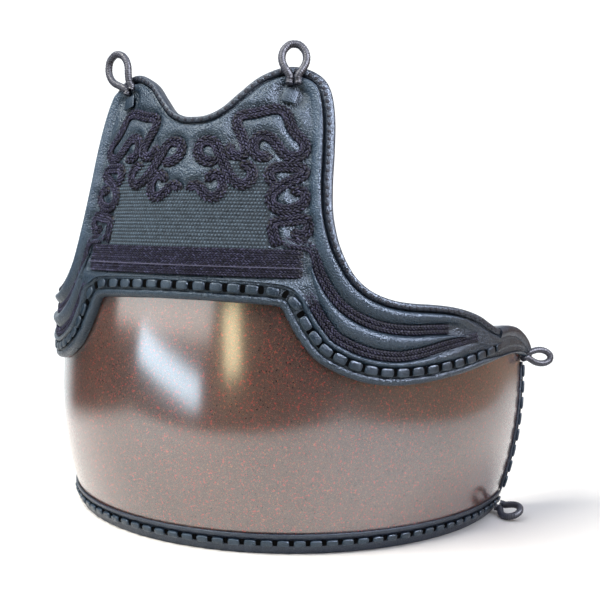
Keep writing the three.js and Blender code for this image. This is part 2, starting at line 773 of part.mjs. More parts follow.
add('body_shell', shellSolid(), lacquer);
add('chest_board', boardSolid(), leather);
add('board_band', boardBand(), leather);
add('board_thong', boardThong(), thong);
add('rim_band', rimBand(), leather);
add('rim_thong', rimThong(), thong);
add('woven_panel', weavePanel(), cloth);
for (let row = 0; row < ROWS; row += 1) {
  add(`row_cord_${row + 1}`, rowCord(row), braid);
}
for (const [half, side] of [['left', 1], ['right', -1]]) {
  add(`side_band_${half}`, sideBand(side), leather);
  add(`side_thong_${half}`, sideThong(side), thong);
  add(`corner_cap_${half}`, cornerCap(side), leather);
  add(`patch_${half}`, patch(side), leather);
  for (const [scroll, pairs] of Object.entries(CLOUD_CORDS)) {
    add(`cloud_${scroll}_${half}`, cloudCord(pairs, side), braid);
  }
  add(`upper_wing_cord_${half}`, upperWingCord(side), braid);
  add(`lower_wing_cord_${half}`, lowerWingCord(side), braid);
}
for (const [name, piece] of Object.entries(LOOPS)) {
  add(name, loopSolid(piece), leather);
}

// The origin is on the floor, in the middle of the whole guard
const bounds = new THREE.Box3().setFromObject(dou);
dou.position.y = -(bounds.min.y + bounds.max.y) / 2;

export default dou;
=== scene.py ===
"""Kendo chest guard: the lacquered barrel, the padded and laced chest board, its braided cords,
the leather edges and the tying loops, dressed for rendering and laid out as an add-on."""
import math
import random

import bpy
import numpy as np
from mathutils import Matrix, Vector


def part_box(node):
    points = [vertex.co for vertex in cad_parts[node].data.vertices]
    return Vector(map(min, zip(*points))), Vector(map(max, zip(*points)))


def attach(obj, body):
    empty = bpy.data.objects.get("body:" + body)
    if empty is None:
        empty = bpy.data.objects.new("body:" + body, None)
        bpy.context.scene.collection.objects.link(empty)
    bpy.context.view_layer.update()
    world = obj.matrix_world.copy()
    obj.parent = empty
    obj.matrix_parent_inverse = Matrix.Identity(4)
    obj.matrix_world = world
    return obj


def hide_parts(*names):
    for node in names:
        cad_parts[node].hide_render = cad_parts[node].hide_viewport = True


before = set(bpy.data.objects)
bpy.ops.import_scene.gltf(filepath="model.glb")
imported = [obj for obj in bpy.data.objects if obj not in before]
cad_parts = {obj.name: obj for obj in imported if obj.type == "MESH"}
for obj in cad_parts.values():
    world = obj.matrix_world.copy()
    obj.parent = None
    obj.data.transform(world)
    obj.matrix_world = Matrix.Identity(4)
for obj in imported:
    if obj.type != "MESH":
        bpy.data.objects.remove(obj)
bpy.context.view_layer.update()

bl_info = {
    "name": "Kendo chest guard",
    "version": (1, 0, 0),
    "blender": (4, 5, 0),
    "location": "3D View > Sidebar > Chest guard",
    "description": "Models a kendo chest guard round its solid parts",
    "category": "Object",
}

MM = 0.001

# Barrel, in millimetres
HALF_WIDTH = 203.0
BELLY_DEPTH = 224.0
BELLY_HEIGHT = 100.0
RIM_NARROWING = 0.084
CHEST_HEIGHT = 350.0
CHEST_NARROWING = 0.1875
WALL = 4.0
RIM_SIDE_ANGLE = 91.5
SIDE_ANGLE = 96.5
RIM_HEIGHT = 2.3

# Chest board
BOARD_BASE = 180.0
BOARD_RISE = 166.0
BOARD_THICK = 6.5
SEAT_GAP = 0.6
LACE_BAND = 12.5
GAP = 0.3
LEATHER = 1.5
EDGE_INSET = LEATHER + GAP
SHELL_INSET = 8.0

# Forms across the board by rib, in millimetres: the groove inside the edge band and the middle of
# the upper wing cord from the upper edge, the middle of the lower wing cord from the lower edge
GROOVE = [(0, 5), (4, 5), (6, 6.2), (8, 8), (10, 8), (12, 7.6), (14, 6.3), (16, 5.4), (20, 5.3),
          (33, 5.4)]
UPPER_CORD = [(0, 20), (8, 20.5), (14, 20), (16, 20.2), (18, 21.2), (20, 20.6), (22, 19), (23, 17.8),
              (24, 16.6), (33, 15)]
LOWER_CORD = [(0, 19.5), (10, 19.5), (14, 20), (18, 20.5), (22, 20.8), (23, 22.3), (24, 24.4), (25, 25),
              (26, 24), (33, 22)]

# Widths of the double cords, the beds of the wing cords, and the step of a cord's route
CLOUD_WIDTH = 7.7
WING_WIDTH = 7.2
ROW_WIDTH = 6.5
BED = WING_WIDTH + 0.4
CORD_STEP = 0.75

# Leather round the rim and the sides, with the heights at which the side lacing and band end
RIM_BAND_HEIGHT = 15.5
SIDE_LACING_TOP = 124.0
SIDE_BAND_TOP = 124.8
CAP_WIDTH = 8.0

# Ribs of the chest board, from the front centre line to the side edge: degrees round and share of
# the board's rise, of the lower end and of the upper end
RIBS = np.array([
    (0, 0.006, 0, 0.78), (3.4, 0.006, 3, 0.786), (7, 0.005, 6.3, 0.816), (10.8, 0.002, 10, 0.88),
    (14.3, 0, 14, 0.946), (17.2, -0.003, 18.5, 0.988), (19.3, -0.006, 22.5, 1),
    (20.3, -0.008, 26.5, 0.985), (20.9, -0.01, 29.6, 0.946), (21.3, -0.013, 31.2, 0.88),
    (21.6, -0.018, 31.8, 0.771), (21.8, -0.023, 31.6, 0.633), (22, -0.03, 31.2, 0.494),
    (22.2, -0.038, 31.3, 0.373), (22.5, -0.052, 32.2, 0.271), (23, -0.072, 33.2, 0.211),
    (23.8, -0.102, 34.3, 0.163), (25.4, -0.154, 35.6, 0.12), (28, -0.221, 37.1, 0.087),
    (31.2, -0.266, 39, 0.058), (35, -0.303, 41.4, 0.035), (39.4, -0.329, 44.3, 0.018),
    (44.5, -0.34, 48, 0.008), (50, -0.336, 52.5, 0.002), (55.5, -0.323, 57, -0.008),
    (61, -0.306, 61.5, -0.027), (66, -0.287, 65.5, -0.054), (70.5, -0.271, 69, -0.09),
    (74.5, -0.257, 72.5, -0.117), (79, -0.251, 77, -0.111), (84, -0.254, 82, -0.127),
    (89, -0.271, 87, -0.163), (93.5, -0.295, 92, -0.208), (96.5, -0.325, 96.5, -0.259),
])
LAST_RIB = len(RIBS) - 1
CAP_RIB = 28

# Routes of the cloud cords on the wearer's left half: degrees and percent of the board's rise
CLOUD_CORDS = {
    "curl": [(1.05, 45.6), (1.5, 47.3), (2.5, 48.2), (3.7, 47.2), (4.8, 44.6), (6.2, 43), (7.6, 43.6),
             (8.5, 46.2), (8.6, 49.6), (7.8, 52.2), (6.5, 53), (5.4, 51.6), (5.3, 49.6)],
    "spiral": [(6.5, 59.2), (5.1, 58.2), (3.1, 59.6), (2, 62.9), (2.5, 66.1), (4.2, 67.4), (5.9, 66.1),
               (7, 62.6), (8, 58.6), (9.2, 54.8), (10.1, 51.8), (11.4, 49.4), (13, 48.4), (14.4, 50.4),
               (14.7, 53.4), (14, 56), (12.9, 56.6), (12.2, 55)],
    "arch": [(9.7, 66), (9.2, 63.6), (9.7, 61.5), (11.2, 60.8), (12.4, 61.6), (12.7, 64), (12.2, 67.2),
             (11.3, 70.8), (10.4, 73.8), (10.4, 76.8), (11.6, 78.5), (13.6, 78.9), (15.7, 79.9),
             (17.9, 81), (19.8, 80.8), (21.1, 79.1), (21.7, 76.3), (22.3, 73.3), (23.2, 70.6),
             (24.5, 68.3), (25.4, 65.4), (25, 62.4), (23.6, 60.8), (21.8, 61), (20.4, 62.9),
             (19.3, 66), (17.8, 68.8), (16.2, 69.6), (14.9, 68.3), (14.4, 65.3), (14.8, 62.1),
             (16, 60.5), (17.3, 60.7), (17.9, 62.2)],
    "column": [(19.3, 49), (18.3, 51), (18.1, 54), (19.6, 56.2), (22.2, 56.4), (24.3, 56.3), (25.4, 54.6),
               (24.7, 52.6), (22.7, 50.8), (20.8, 48.6), (19.3, 46), (18.6, 43.2), (18.9, 40.6),
               (20.4, 38.8), (22.2, 38.5), (24.1, 39.8), (25.4, 42), (25.6, 44.6), (24.9, 46.4),
               (23.7, 46.6), (23, 45)],
    "hook": [(23.2, 30.2), (24, 28.6), (25.1, 28.2), (25.9, 29.1), (26.5, 31.8), (26, 34.3), (25, 35),
             (23, 34.3), (20.8, 33.8), (19.3, 32.4), (19.4, 29.2), (19.8, 26.2), (20.3, 23.4)],
}
UPPER_WING_HEAD = [(21.1, 27.6), (21.9, 25.6), (22.9, 24.7), (25, 24.4), (26.8, 23.2), (27.7, 20.6)]

# The three rows of cord, and the woven panel above them with the pitches and size of its grains
ROW_TOP = 216.8
ROW_SPACING = 6.4
ROW_ANGLE = 25.4
WEAVE_ANGLE = 18.6
GRAIN_ROUND = 2.36
GRAIN_UP = 2.5
GRAIN_ROWS = 26
GRAIN_SIZE = (1.78, 1.9, 1.7)

# Square patches: the seat in degrees and share of the board's rise, the side, the turn in degrees
# and the lift above the board's face
PATCH_ANGLE = 21.6
PATCH_UP = 0.866
PATCH_SIZE = 10.0
PATCH_TURN = 14.0
PATCH_LIFT = 1.8

HALVES = (("left", 1), ("right", -1))


# Places on the barrel's face

def girth(height):
    """Share of the belly's girth at a height, and its slope."""
    below = (BELLY_HEIGHT - height) / BELLY_HEIGHT
    above = (height - BELLY_HEIGHT) / (CHEST_HEIGHT - BELLY_HEIGHT)
    low = height < BELLY_HEIGHT
    share = np.where(low, 1 - RIM_NARROWING * below ** 2, 1 - CHEST_NARROWING * above ** 2)
    slope = np.where(
        low,
        2 * RIM_NARROWING * below / BELLY_HEIGHT,
        -2 * CHEST_NARROWING * above / (CHEST_HEIGHT - BELLY_HEIGHT),
    )
    return share, slope


def unit(vectors):
    vectors = np.asarray(vectors, float)
    return vectors / np.linalg.norm(vectors, axis=-1, keepdims=True)


def front_of_belly(height):
    return BELLY_DEPTH * float(girth(np.array(height))[0])


# The barrel's axis, worked out from the front of the rim's leather
CENTRE_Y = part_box("rim_band")[0][1] / MM + front_of_belly(RIM_BAND_HEIGHT) + EDGE_INSET


def normals(angle, height, level=False):
    turn = np.radians(angle)
    share, slope = girth(height)
    return unit(np.stack([
        BELLY_DEPTH * share * np.sin(turn),
        -HALF_WIDTH * share * np.cos(turn),
        0 * turn if level else -HALF_WIDTH * BELLY_DEPTH * share * slope,
    ], axis=-1))


def on_face(angle, height, lift=0.0, level=False):
    """Points in metres, lift millimetres out of the barrel's face."""
    angle, height, lift = np.broadcast_arrays(
        np.asarray(angle, float), np.asarray(height, float), np.asarray(lift, float)
    )
    turn = np.radians(angle)
    share = girth(height)[0]
    point = np.stack([
        HALF_WIDTH * share * np.sin(turn),
        CENTRE_Y - BELLY_DEPTH * share * np.cos(turn),
        height,
    ], axis=-1)
    return (point + normals(angle, height, level) * lift[..., None]) * MM


def round_scale(angle, height):
    turn = np.radians(angle)
    share = girth(height)[0]
    return share * np.hypot(HALF_WIDTH * np.cos(turn), BELLY_DEPTH * np.sin(turn))


def rise_scale(height):
    return np.hypot(1, BELLY_DEPTH * girth(height)[1])


def moved(angle, height, round_by, up_by):
    """Places shifted over the face by millimetres round it and up it."""
    return (
        angle + np.degrees(round_by / round_scale(angle, height)),
        height + up_by / rise_scale(height),
    )


def between(first, second, share):
    """Places a share of the way from one pair of angle and height to another."""
    return tuple(a + (b - a) * share for a, b in zip(first, second))


class Run:
    """A dense row of places on the face, with the direction that it takes."""

    def __init__(self, angle, height):
        self.angle = np.asarray(angle, float)
        self.height = np.asarray(height, float)
        self.places = self.angle, self.height
        step_round = np.radians(np.gradient(self.angle)) * round_scale(self.angle, self.height)
        step_up = np.gradient(self.height) * rise_scale(self.height)
        length = np.hypot(step_round, step_up)
        self.round = step_round / length
        self.up = step_up / length
        self.arc = np.concatenate([[0], np.cumsum((length[1:] + length[:-1]) / 2)])

    def beside(self, distance):
        """Places to the left of the run."""
        return moved(self.angle, self.height, -self.up * distance, self.round * distance)

    def at(self, arc):
        """The run sampled at arc lengths in millimetres."""
        return Run(np.interp(arc, self.arc, self.angle), np.interp(arc, self.arc, self.height))

    def sampled(self, arc):
        """Places at any arc lengths, with the run's own directions there."""
        run = object.__new__(Run)
        run.arc = np.asarray(arc, float)
        for key in ("angle", "height", "round", "up"):
            setattr(run, key, np.interp(arc, self.arc, getattr(self, key)))
        return run

    def stepped(self, step):
        count = max(2, int(round(self.arc[-1] / step)))
        return self.at(np.linspace(0, self.arc[-1], count + 1))


def catmull(points, per_span):
    """Smooth curve through points, with spans of even parameter."""
    points = np.asarray(points, float)
    first = 2 * points[0] - points[1]
    last = 2 * points[-1] - points[-2]
    padded = np.vstack([first, points, last])
    t = np.linspace(0, 1, per_span, endpoint=False)[:, None]
    spans = []
    for a, b, c, d in zip(padded[:-3], padded[1:-2], padded[2:-1], padded[3:]):
        spans.append(0.5 * (
            2 * b + (c - a) * t + (2 * a - 5 * b + 4 * c - d) * t ** 2
            + (3 * b - a - 3 * c + d) * t ** 3
        ))
    return np.vstack(spans + [points[-1:]])


def smooth_run(pairs, step, side=1):
    """Run through chosen degrees and millimetres."""
    scale = math.radians(1) * HALF_WIDTH
    curve = catmull([(side * angle * scale, height) for angle, height in pairs], 24)
    return Run(curve[:, 0] / scale, curve[:, 1]).stepped(step)


def risen(share):
    return BOARD_BASE + BOARD_RISE * np.asarray(share, float)


def route(pairs):
    return [(angle, float(risen(percent / 100))) for angle, percent in pairs]


def rib_columns(per_rib, reach=LAST_RIB):
    """Rib numbers from the wearer's right to the left, and the lower and upper outline there."""
    mirrored = RIBS[:0:-1] * (-1, 1, -1, 1)
    table = catmull(np.vstack([mirrored, RIBS]), per_rib)
    number = np.linspace(-LAST_RIB, LAST_RIB, len(table))
    keep = np.abs(number) <= reach + 1e-9
    table = table[keep]
    low = Run(table[:, 0], risen(table[:, 1]))
    top = Run(table[:, 2], risen(table[:, 3]))
    return number[keep], low, top


def ramp(value, start, full):
    return np.clip((value - start) / (full - start), 0, 1)


def soft(value):
    return value * value * (3 - 2 * value)


def parts(count):
    """Even shares of a way, without its start."""
    return np.linspace(0, 1, count + 1)[1:]


def by_rib(table, number):
    return np.interp(np.abs(number), *zip(*table))


def fade(number):
    """The ridges and beds of a wing flatten out towards its tip."""
    return 1 - soft(ramp(np.abs(number), 23.7, 26.2))


def clear_of_sides(number, angle, height):
    """Angles drawn in at the last ribs, where the side leather lies."""
    pull = np.degrees(EDGE_INSET / round_scale(angle, height))
    last = np.abs(number) > LAST_RIB - 1e-6
    return angle - (np.sign(number) * last)[:, None] * pull


def level_run(height, reach, count):
    return Run(np.linspace(-reach, reach, count), np.full(count, float(height)))


# Meshes

def deselect():
    if bpy.context.mode != "OBJECT":
        bpy.ops.object.mode_set(mode="OBJECT")
    bpy.ops.object.select_all(action="DESELECT")


def only(obj):
    deselect()
    obj.select_set(True)
    bpy.context.view_layer.objects.active = obj


def grid_skin(points, arc_uv=None, wrap=False, shade=None):
    """A grid primitive laid over rows of points in metres; a wrapped one is a closed tube."""
    points = np.asarray(points, float)
    if wrap:
        points = np.concatenate([points, points[:, :1]], axis=1)
    rows, columns = points.shape[:2]
    deselect()
    bpy.ops.mesh.primitive_grid_add(x_subdivisions=columns - 1, y_subdivisions=rows - 1)
    obj = bpy.context.object
    mesh = obj.data
    mesh.vertices.foreach_set("co", points.reshape(-1))
    if arc_uv is not None:
        along, across = arc_uv
        corners = np.empty(len(mesh.loops), int)
        mesh.loops.foreach_get("vertex_index", corners)
        uv = np.stack([
            np.asarray(along, float)[corners // columns],
            np.asarray(across, float)[corners % columns],
        ], axis=-1)
        mesh.uv_layers[0].data.foreach_set("uv", uv.reshape(-1))
    if shade is not None:
        values = np.asarray(shade, float)
        if wrap:
            values = np.concatenate([values, values[:, :1]], axis=1)
        layer = mesh.attributes.new("shade", "FLOAT", "POINT")
        layer.data.foreach_set("value", values.reshape(-1))
    mesh.update()
    if wrap:
        bpy.ops.object.mode_set(mode="EDIT")
        bpy.ops.mesh.select_all(action="SELECT")
        bpy.ops.mesh.remove_doubles(threshold=1e-7)
        bpy.ops.mesh.fill_holes(sides=0)
        bpy.ops.mesh.select_all(action="SELECT")
        bpy.ops.mesh.normals_make_consistent(inside=False)
        bpy.ops.object.mode_set(mode="OBJECT")
    return obj


def joined(objects):
    deselect()
    for obj in objects:
        obj.select_set(True)
    bpy.context.view_layer.objects.active = objects[0]
    bpy.ops.object.join()
    return objects[0]


def finished(obj, name, material, nodes=(), angle=40):
    """Names a piece, gives it its finish and hangs it on the frame."""
    obj.name = name
    obj.data.name = name
    obj.data.materials.clear()
    obj.data.materials.append(material)
    only(obj)
    bpy.ops.object.shade_smooth_by_angle(angle=math.radians(angle))
    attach(obj, "root")
    if nodes:
        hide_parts(*nodes)
    return obj


def skin(name, points, material, slot, nodes=(), angle=40, **options):
    return finished(grid_skin(points, **options), name, material, nodes, angle)


def laid(run, section):
    """Rows of a section's points along a run: distances to the left and lifts, in millimetres."""
    return np.stack([on_face(*run.beside(side), lift) for side, lift in section], axis=1)


def face_frames(run, side, lift):
    """Point, direction along, direction across and normal at each place of a run."""
    angle, height = run.beside(side)
    point = on_face(angle, height, lift)
    along = unit(on_face(*moved(angle, height, run.round, run.up), lift) - point)
    out = normals(angle, height)
    return point, along, unit(np.cross(out, along)), out


def repeated(template, frames, scales, tints=None):
    """One mesh of many copies of a small template, which goes; tints scale a painted shade, light atop
    each copy.
    """
    mesh = template.data
    count = len(mesh.vertices)
    corners = np.empty(count * 3)
    mesh.vertices.foreach_get("co", corners)
    corners = corners.reshape(-1, 3)
    polygons = [list(polygon.vertices) for polygon in mesh.polygons]
    point, along, across, out = frames
    scales = np.asarray(scales, float).reshape(-1, 3)
    local = corners[None] * scales[:, None]
    placed = (
        point[:, None]
        + local[..., :1] * along[:, None]
        + local[..., 1:2] * across[:, None]
        + local[..., 2:] * out[:, None]
    )
    faces = [[index + copy * count for index in polygon]
             for copy in range(len(point)) for polygon in polygons]
    made = bpy.data.meshes.new("repeated")
    made.from_pydata(placed.reshape(-1, 3).tolist(), [], faces)
    if tints is not None:
        shades = np.asarray(tints)[:, None] * (corners[:, 2] + 0.5)
        grains = np.tile(corners[:, 1], len(point))
        for key, values in (("shade", shades), ("grain", grains)):
            layer = made.attributes.new(key, "FLOAT", "POINT")
            layer.data.foreach_set("value", values.reshape(-1))
    made.update()
    obj = bpy.data.objects.new("repeated", made)
    bpy.context.scene.collection.objects.link(obj)
    bpy.data.objects.remove(template)
    only(obj)
    bpy.ops.object.mode_set(mode="EDIT")
    bpy.ops.mesh.select_all(action="SELECT")
    bpy.ops.mesh.normals_make_consistent(inside=False)
    bpy.ops.object.mode_set(mode="OBJECT")
    return obj


def cushion_template(bevel, segments):
    """A unit block with rounded edges, standing on its base."""
    deselect()
    bpy.ops.mesh.primitive_cube_add(size=1, location=(0, 0, 0.5))
    bpy.ops.object.transform_apply(location=True, rotation=False, scale=False)
    bpy.ops.object.mode_set(mode="EDIT")
    bpy.ops.mesh.select_all(action="SELECT")
    bpy.ops.mesh.bevel(offset=bevel, segments=segments, affect="EDGES")
    bpy.ops.object.mode_set(mode="OBJECT")
    return bpy.context.object


def pebble_template(segments):
    deselect()
    bpy.ops.mesh.primitive_uv_sphere_add(segments=segments, ring_count=5, radius=0.5)
    return bpy.context.object


def tube(centres, out, radius_across, radius_out, sides, wobble=1):
    """Rows of rings round a row of centres in metres; radii in millimetres."""
    along = unit(np.gradient(centres, axis=0))
    across = unit(np.cross(out, along))
    up = np.cross(along, across)
    turn = 2 * np.pi * np.arange(sides) / sides
    return (
        centres[:, None]
        + across[:, None] * (np.cos(turn)[None] * radius_across * wobble * MM)[..., None]
        + up[:, None] * (np.sin(turn)[None] * radius_out * wobble * MM)[..., None]
    )


# Finishes

FULL_TURN = 6.28318
FIBRES = 4.5


class Value:
    """An output socket with arithmetic."""

    def __init__(self, shading, socket):
        self.shading = shading
        self.socket = socket

    def combine(self, operation, other):
        return self.shading.node("ShaderNodeMath", {"operation": operation}, {0: self, 1: other})

    def __add__(self, other):
        return self.combine("ADD", other)

    def __mul__(self, other):
        return self.combine("MULTIPLY", other)

    def sine(self):
        return self.combine("SINE", 0)

    def power(self, other):
        return self.combine("POWER", other)

    def ramp(self, low, high, to_low=0.0, to_high=1.0):
        """Maps a range onto another, smoothly and clamped."""
        return self.shading.node(
            "ShaderNodeMapRange",
            {"interpolation_type": "SMOOTHSTEP", "clamp": True},
            {"Value": self, "From Min": low, "From Max": high, "To Min": to_low, "To Max": to_high},
        )


class Shading:
    """A node tree, and short calls that add to it."""

    def __init__(self, tree):
        self.tree = tree

    def node(self, kind, settings=None, inputs=None, output=0):
        made = self.tree.nodes.new(kind)
        for key, value in (settings or {}).items():
            setattr(made, key, value)
        for key, value in (inputs or {}).items():
            if isinstance(value, Value):
                self.tree.links.new(value.socket, made.inputs[key])
            else:
                made.inputs[key].default_value = value
        return Value(self, made.outputs[output])

    def mix(self, share, first, second):
        def colored(value):
            return value if isinstance(value, Value) else (*value, 1)
        return self.node("ShaderNodeMix", {"data_type": "RGBA"}, {
            "Factor": share, 6: colored(first), 7: colored(second),
        }, 2)


class Finish(Shading):
    """One material, built from its shader outwards."""

    def __init__(self, name, **constants):
        self.material = bpy.data.materials.new(name)
        self.material.use_nodes = True
        super().__init__(self.material.node_tree)
        self.shader = self.tree.nodes["Principled BSDF"]
        for key, value in constants.items():
            self.shader.inputs[key.replace("_", " ")].default_value = value

    def coordinates(self, kind="Object"):
        return self.node("ShaderNodeTexCoord", output=kind)

    def apart(self, vector, axis):
        return self.node("ShaderNodeSeparateXYZ", inputs={0: vector}, output=axis)

    def attribute(self, name):
        return self.node("ShaderNodeAttribute", {"attribute_name": name}, output="Fac")

    def noise(self, scale, detail=3.0, roughness=0.5):
        return self.node("ShaderNodeTexNoise", None, {
            "Vector": self.coordinates(), "Scale": scale, "Detail": detail, "Roughness": roughness,
        })

    def cells(self, scale, feature="F1"):
        return self.node("ShaderNodeTexVoronoi", {"feature": feature}, {
            "Vector": self.coordinates(), "Scale": scale,
        }, "Distance")

    def bump(self, height, strength, distance):
        return self.node("ShaderNodeBump", None, {
            "Strength": strength, "Distance": distance, "Height": height,
        })

    def feed(self, **links):
        for key, value in links.items():
            self.tree.links.new(value.socket, self.shader.inputs[key.replace("_", " ")])
        return self.material


def lacquer_finish(look):
    """Dark red-brown lacquer with red, amber and black specks under a gloss coat."""
    made = Finish("speckled_lacquer", Coat_Weight=1.0, Coat_Roughness=0.17, Coat_IOR=2.1,
                  Specular_IOR_Level=0.25)
    cloud = made.noise(9, detail=4)
    ground = made.mix(cloud.ramp(0.35, 0.7), look.lacquer_color, look.lacquer_light)
    dust = made.noise(1500, detail=2, roughness=0.7)
    ground = made.mix(dust.ramp(0.5, 0.68) * 0.35, ground, (0.3, 0.21, 0.16))
    red = made.noise(560, detail=2, roughness=0.75)
    ground = made.mix(red.ramp(0.59, 0.65) * look.speck_share, ground, look.speck_color)
    amber = made.noise(850, detail=1)
    ground = made.mix(amber.ramp(0.66, 0.72) * 0.35, ground, (0.6, 0.22, 0.07))
    spots = made.cells(330).ramp(0.22, 0.15) * made.noise(120, detail=0).ramp(0.4, 0.55)
    ground = made.mix(spots, ground, (0.01, 0.006, 0.006))
    grain = made.noise(2200, detail=1)
    return made.feed(
        Base_Color=ground,
        Roughness=grain.ramp(0.3, 0.7, 0.26, 0.4),
        Normal=made.bump(red, 0.05, 0.0004),
    )


def leather_finish(name, color, light, roughness, grain=880, depth=1.0, painted_relief_shading=True):
    """Pebbled dyed leather with painted highlights on pebble tops and ridges, and painted shade in
    valleys.
    """
    made = Finish(name, Specular_IOR_Level=0.6, Specular_Tint=(0.78, 0.9, 1.0, 1.0))
    pebbles = made.cells(grain, feature="SMOOTH_F1")
    fine = made.noise(grain * 2.6, detail=2)
    crease = made.noise(95, detail=5, roughness=0.62)
    tone = made.mix(made.noise(26, detail=4).ramp(0.3, 0.7), color, [c * 1.25 + 0.003 for c in color])
    # Painted highlight: the top of each pebble takes the lighter colour.
    tone = made.mix(pebbles.ramp(0.42, 0.1) * 0.3, tone, light)
    # Painted light from the shade attribute: lighter on ridges and puffs, darker in grooves and beds.
    if painted_relief_shading:
        shade = made.attribute("shade")
        tone = made.mix(shade.ramp(0.45, 1.0) * 0.45, tone, light)
        tone = made.mix(shade.ramp(0.35, 0.0) * 0.6, tone, [c * 0.4 for c in color])
    height = pebbles * -1 + fine * 0.3 + crease * 0.12
    return made.feed(
        Base_Color=tone,
        Roughness=made.noise(140, detail=3).ramp(0.3, 0.7, roughness - 0.06, roughness + 0.1),
        Normal=made.bump(height, depth, 0.0007),
    )


def cord_finish(look):
    """Indigo braid with fibres along each stitch, painted shade under the stitches, painted highlights on
    top.
    """
    made = Finish("indigo_braid", Specular_IOR_Level=0.22)
    fibre = (made.attribute("grain") * (FULL_TURN * FIBRES)).sine() * 0.5 + 0.5
    mottled = made.noise(420, detail=3)
    lit = made.attribute("shade")
    tone = made.mix(mottled.ramp(0.3, 0.7), look.cord_color, look.cord_light)
    # Painted shade: near black on the stitches' undersides and on the core between them.
    tone = made.mix(lit.ramp(0.7, 0.4) * 0.97, tone, (0.0008, 0.0008, 0.003))
    # Painted highlight: pale fibre lines only on the stitches' tops.
    bright = fibre * lit.ramp(0.62, 0.98) * mottled.ramp(0.3, 0.7)
    tone = made.mix(bright * 0.8, tone, look.cord_thread)
    return made.feed(
        Base_Color=tone,
        Roughness=mottled.ramp(0.3, 0.7, 0.42, 0.62),
        Normal=made.bump(fibre + made.noise(1600, detail=2) * 0.8, 0.5, 0.00025),
    )


def weave_finish(look, name, painted_light_level):
    """Blue-grey cotton; the cloth under the grains is painted darker, as their shade."""
    made = Finish(name, Specular_IOR_Level=0.3, Sheen_Weight=0.1)
    mottled = made.noise(300, detail=4)
    color = [c * painted_light_level for c in look.weave_color]
    tone = made.mix(mottled.ramp(0.3, 0.72), color, [c * 1.7 for c in color])
    threads = made.noise(2600, detail=2)
    tone = made.mix(threads.ramp(0.5, 0.75) * 0.35 * painted_light_level, tone, (0.23, 0.32, 0.36))
    return made.feed(
        Base_Color=tone,
        Roughness=threads.ramp(0.3, 0.7, 0.7, 0.9),
        Normal=made.bump(threads, 0.6, 0.0003),
    )


def dark_finish(name, color, roughness, gloss=0.3):
    made = Finish(name, Specular_IOR_Level=gloss)
    shade = made.noise(700, detail=2)
    return made.feed(
        Base_Color=made.mix(shade, color, [c * 2 for c in color]),
        Roughness=shade.ramp(0.3, 0.7, roughness, roughness + 0.15),
    )


def loop_finish(look):
    """Rolled leather, rubbed smooth, with a fine wound grain."""
    made = Finish("rolled_leather", Specular_IOR_Level=0.55)
    along, around = (made.apart(made.coordinates("UV"), axis) for axis in (0, 1))
    turns = (along * 4200 + around * FULL_TURN).sine() * 0.5 + 0.5
    mottled = made.noise(200, detail=4)
    tone = made.mix(mottled.ramp(0.3, 0.7), look.loop_color, [c * 1.9 for c in look.loop_color])
    tone = made.mix(turns.power(2) * 0.3, tone, (0.12, 0.125, 0.18))
    return made.feed(
        Base_Color=tone,
        Roughness=mottled.ramp(0.3, 0.7, 0.34, 0.52),
        Normal=made.bump(turns + made.noise(1100, detail=3), 0.4, 0.00025),
    )


MATERIALS = {}


def shared_material(key, build):
    if key not in MATERIALS:
        MATERIALS[key] = build()
    return MATERIALS[key]


def board_leather():
    look = bpy.context.scene.guard_leather
    return shared_material("board", lambda: leather_finish(
        "pebbled_leather", tuple(look.board_color), tuple(look.board_highlight), look.roughness))


def edge_leather():
    look = bpy.context.scene.guard_leather
    return shared_material("edge", lambda: leather_finish(
        "edge_leather", tuple(look.edge_color), tuple(look.edge_highlight), look.roughness + 0.02,
        grain=1000, depth=0.6, painted_relief_shading=False))


def thong_leather():
    look = bpy.context.scene.guard_leather
    return shared_material("thong", lambda: leather_finish(
        "lacing_thong", tuple(look.board_color), tuple(look.board_highlight), look.roughness,
        grain=1100, depth=0.4, painted_relief_shading=False))


# Painted shade: a near-black block stands for the shadowed inside of each lacing slit.
def painted_slit_shade():
    return shared_material("slit", lambda: dark_finish("lacing_slit_shade", (0.001, 0.001, 0.001), 0.8, 0.03))


def stitch_thread():
    return shared_material("thread", lambda: dark_finish("stitch_thread", (0.008, 0.009, 0.016), 0.6))


def cord_material():
    look = bpy.context.scene.guard_cords
    return shared_material("cord", lambda: cord_finish(look))


# Settings

def color_property(name, description, default):
    return bpy.props.FloatVectorProperty(
        name=name, description=description, subtype="COLOR", size=3, min=0, max=1, default=default)


class GuardLacquer(bpy.types.PropertyGroup):
    """Colours of the barrel's lacquer."""
    lacquer_color: color_property("Lacquer", "Ground colour of the lacquer", (0.045, 0.023, 0.017))
    lacquer_light: color_property("Lacquer clouds", "Lighter clouds in the lacquer", (0.084, 0.043, 0.032))
    speck_color: color_property("Specks", "Red specks under the gloss coat", (0.42, 0.05, 0.04))
    speck_share: bpy.props.FloatProperty(
        name="Speck strength", description="How strongly the red specks show",
        default=0.8, min=0, max=1, subtype="FACTOR")


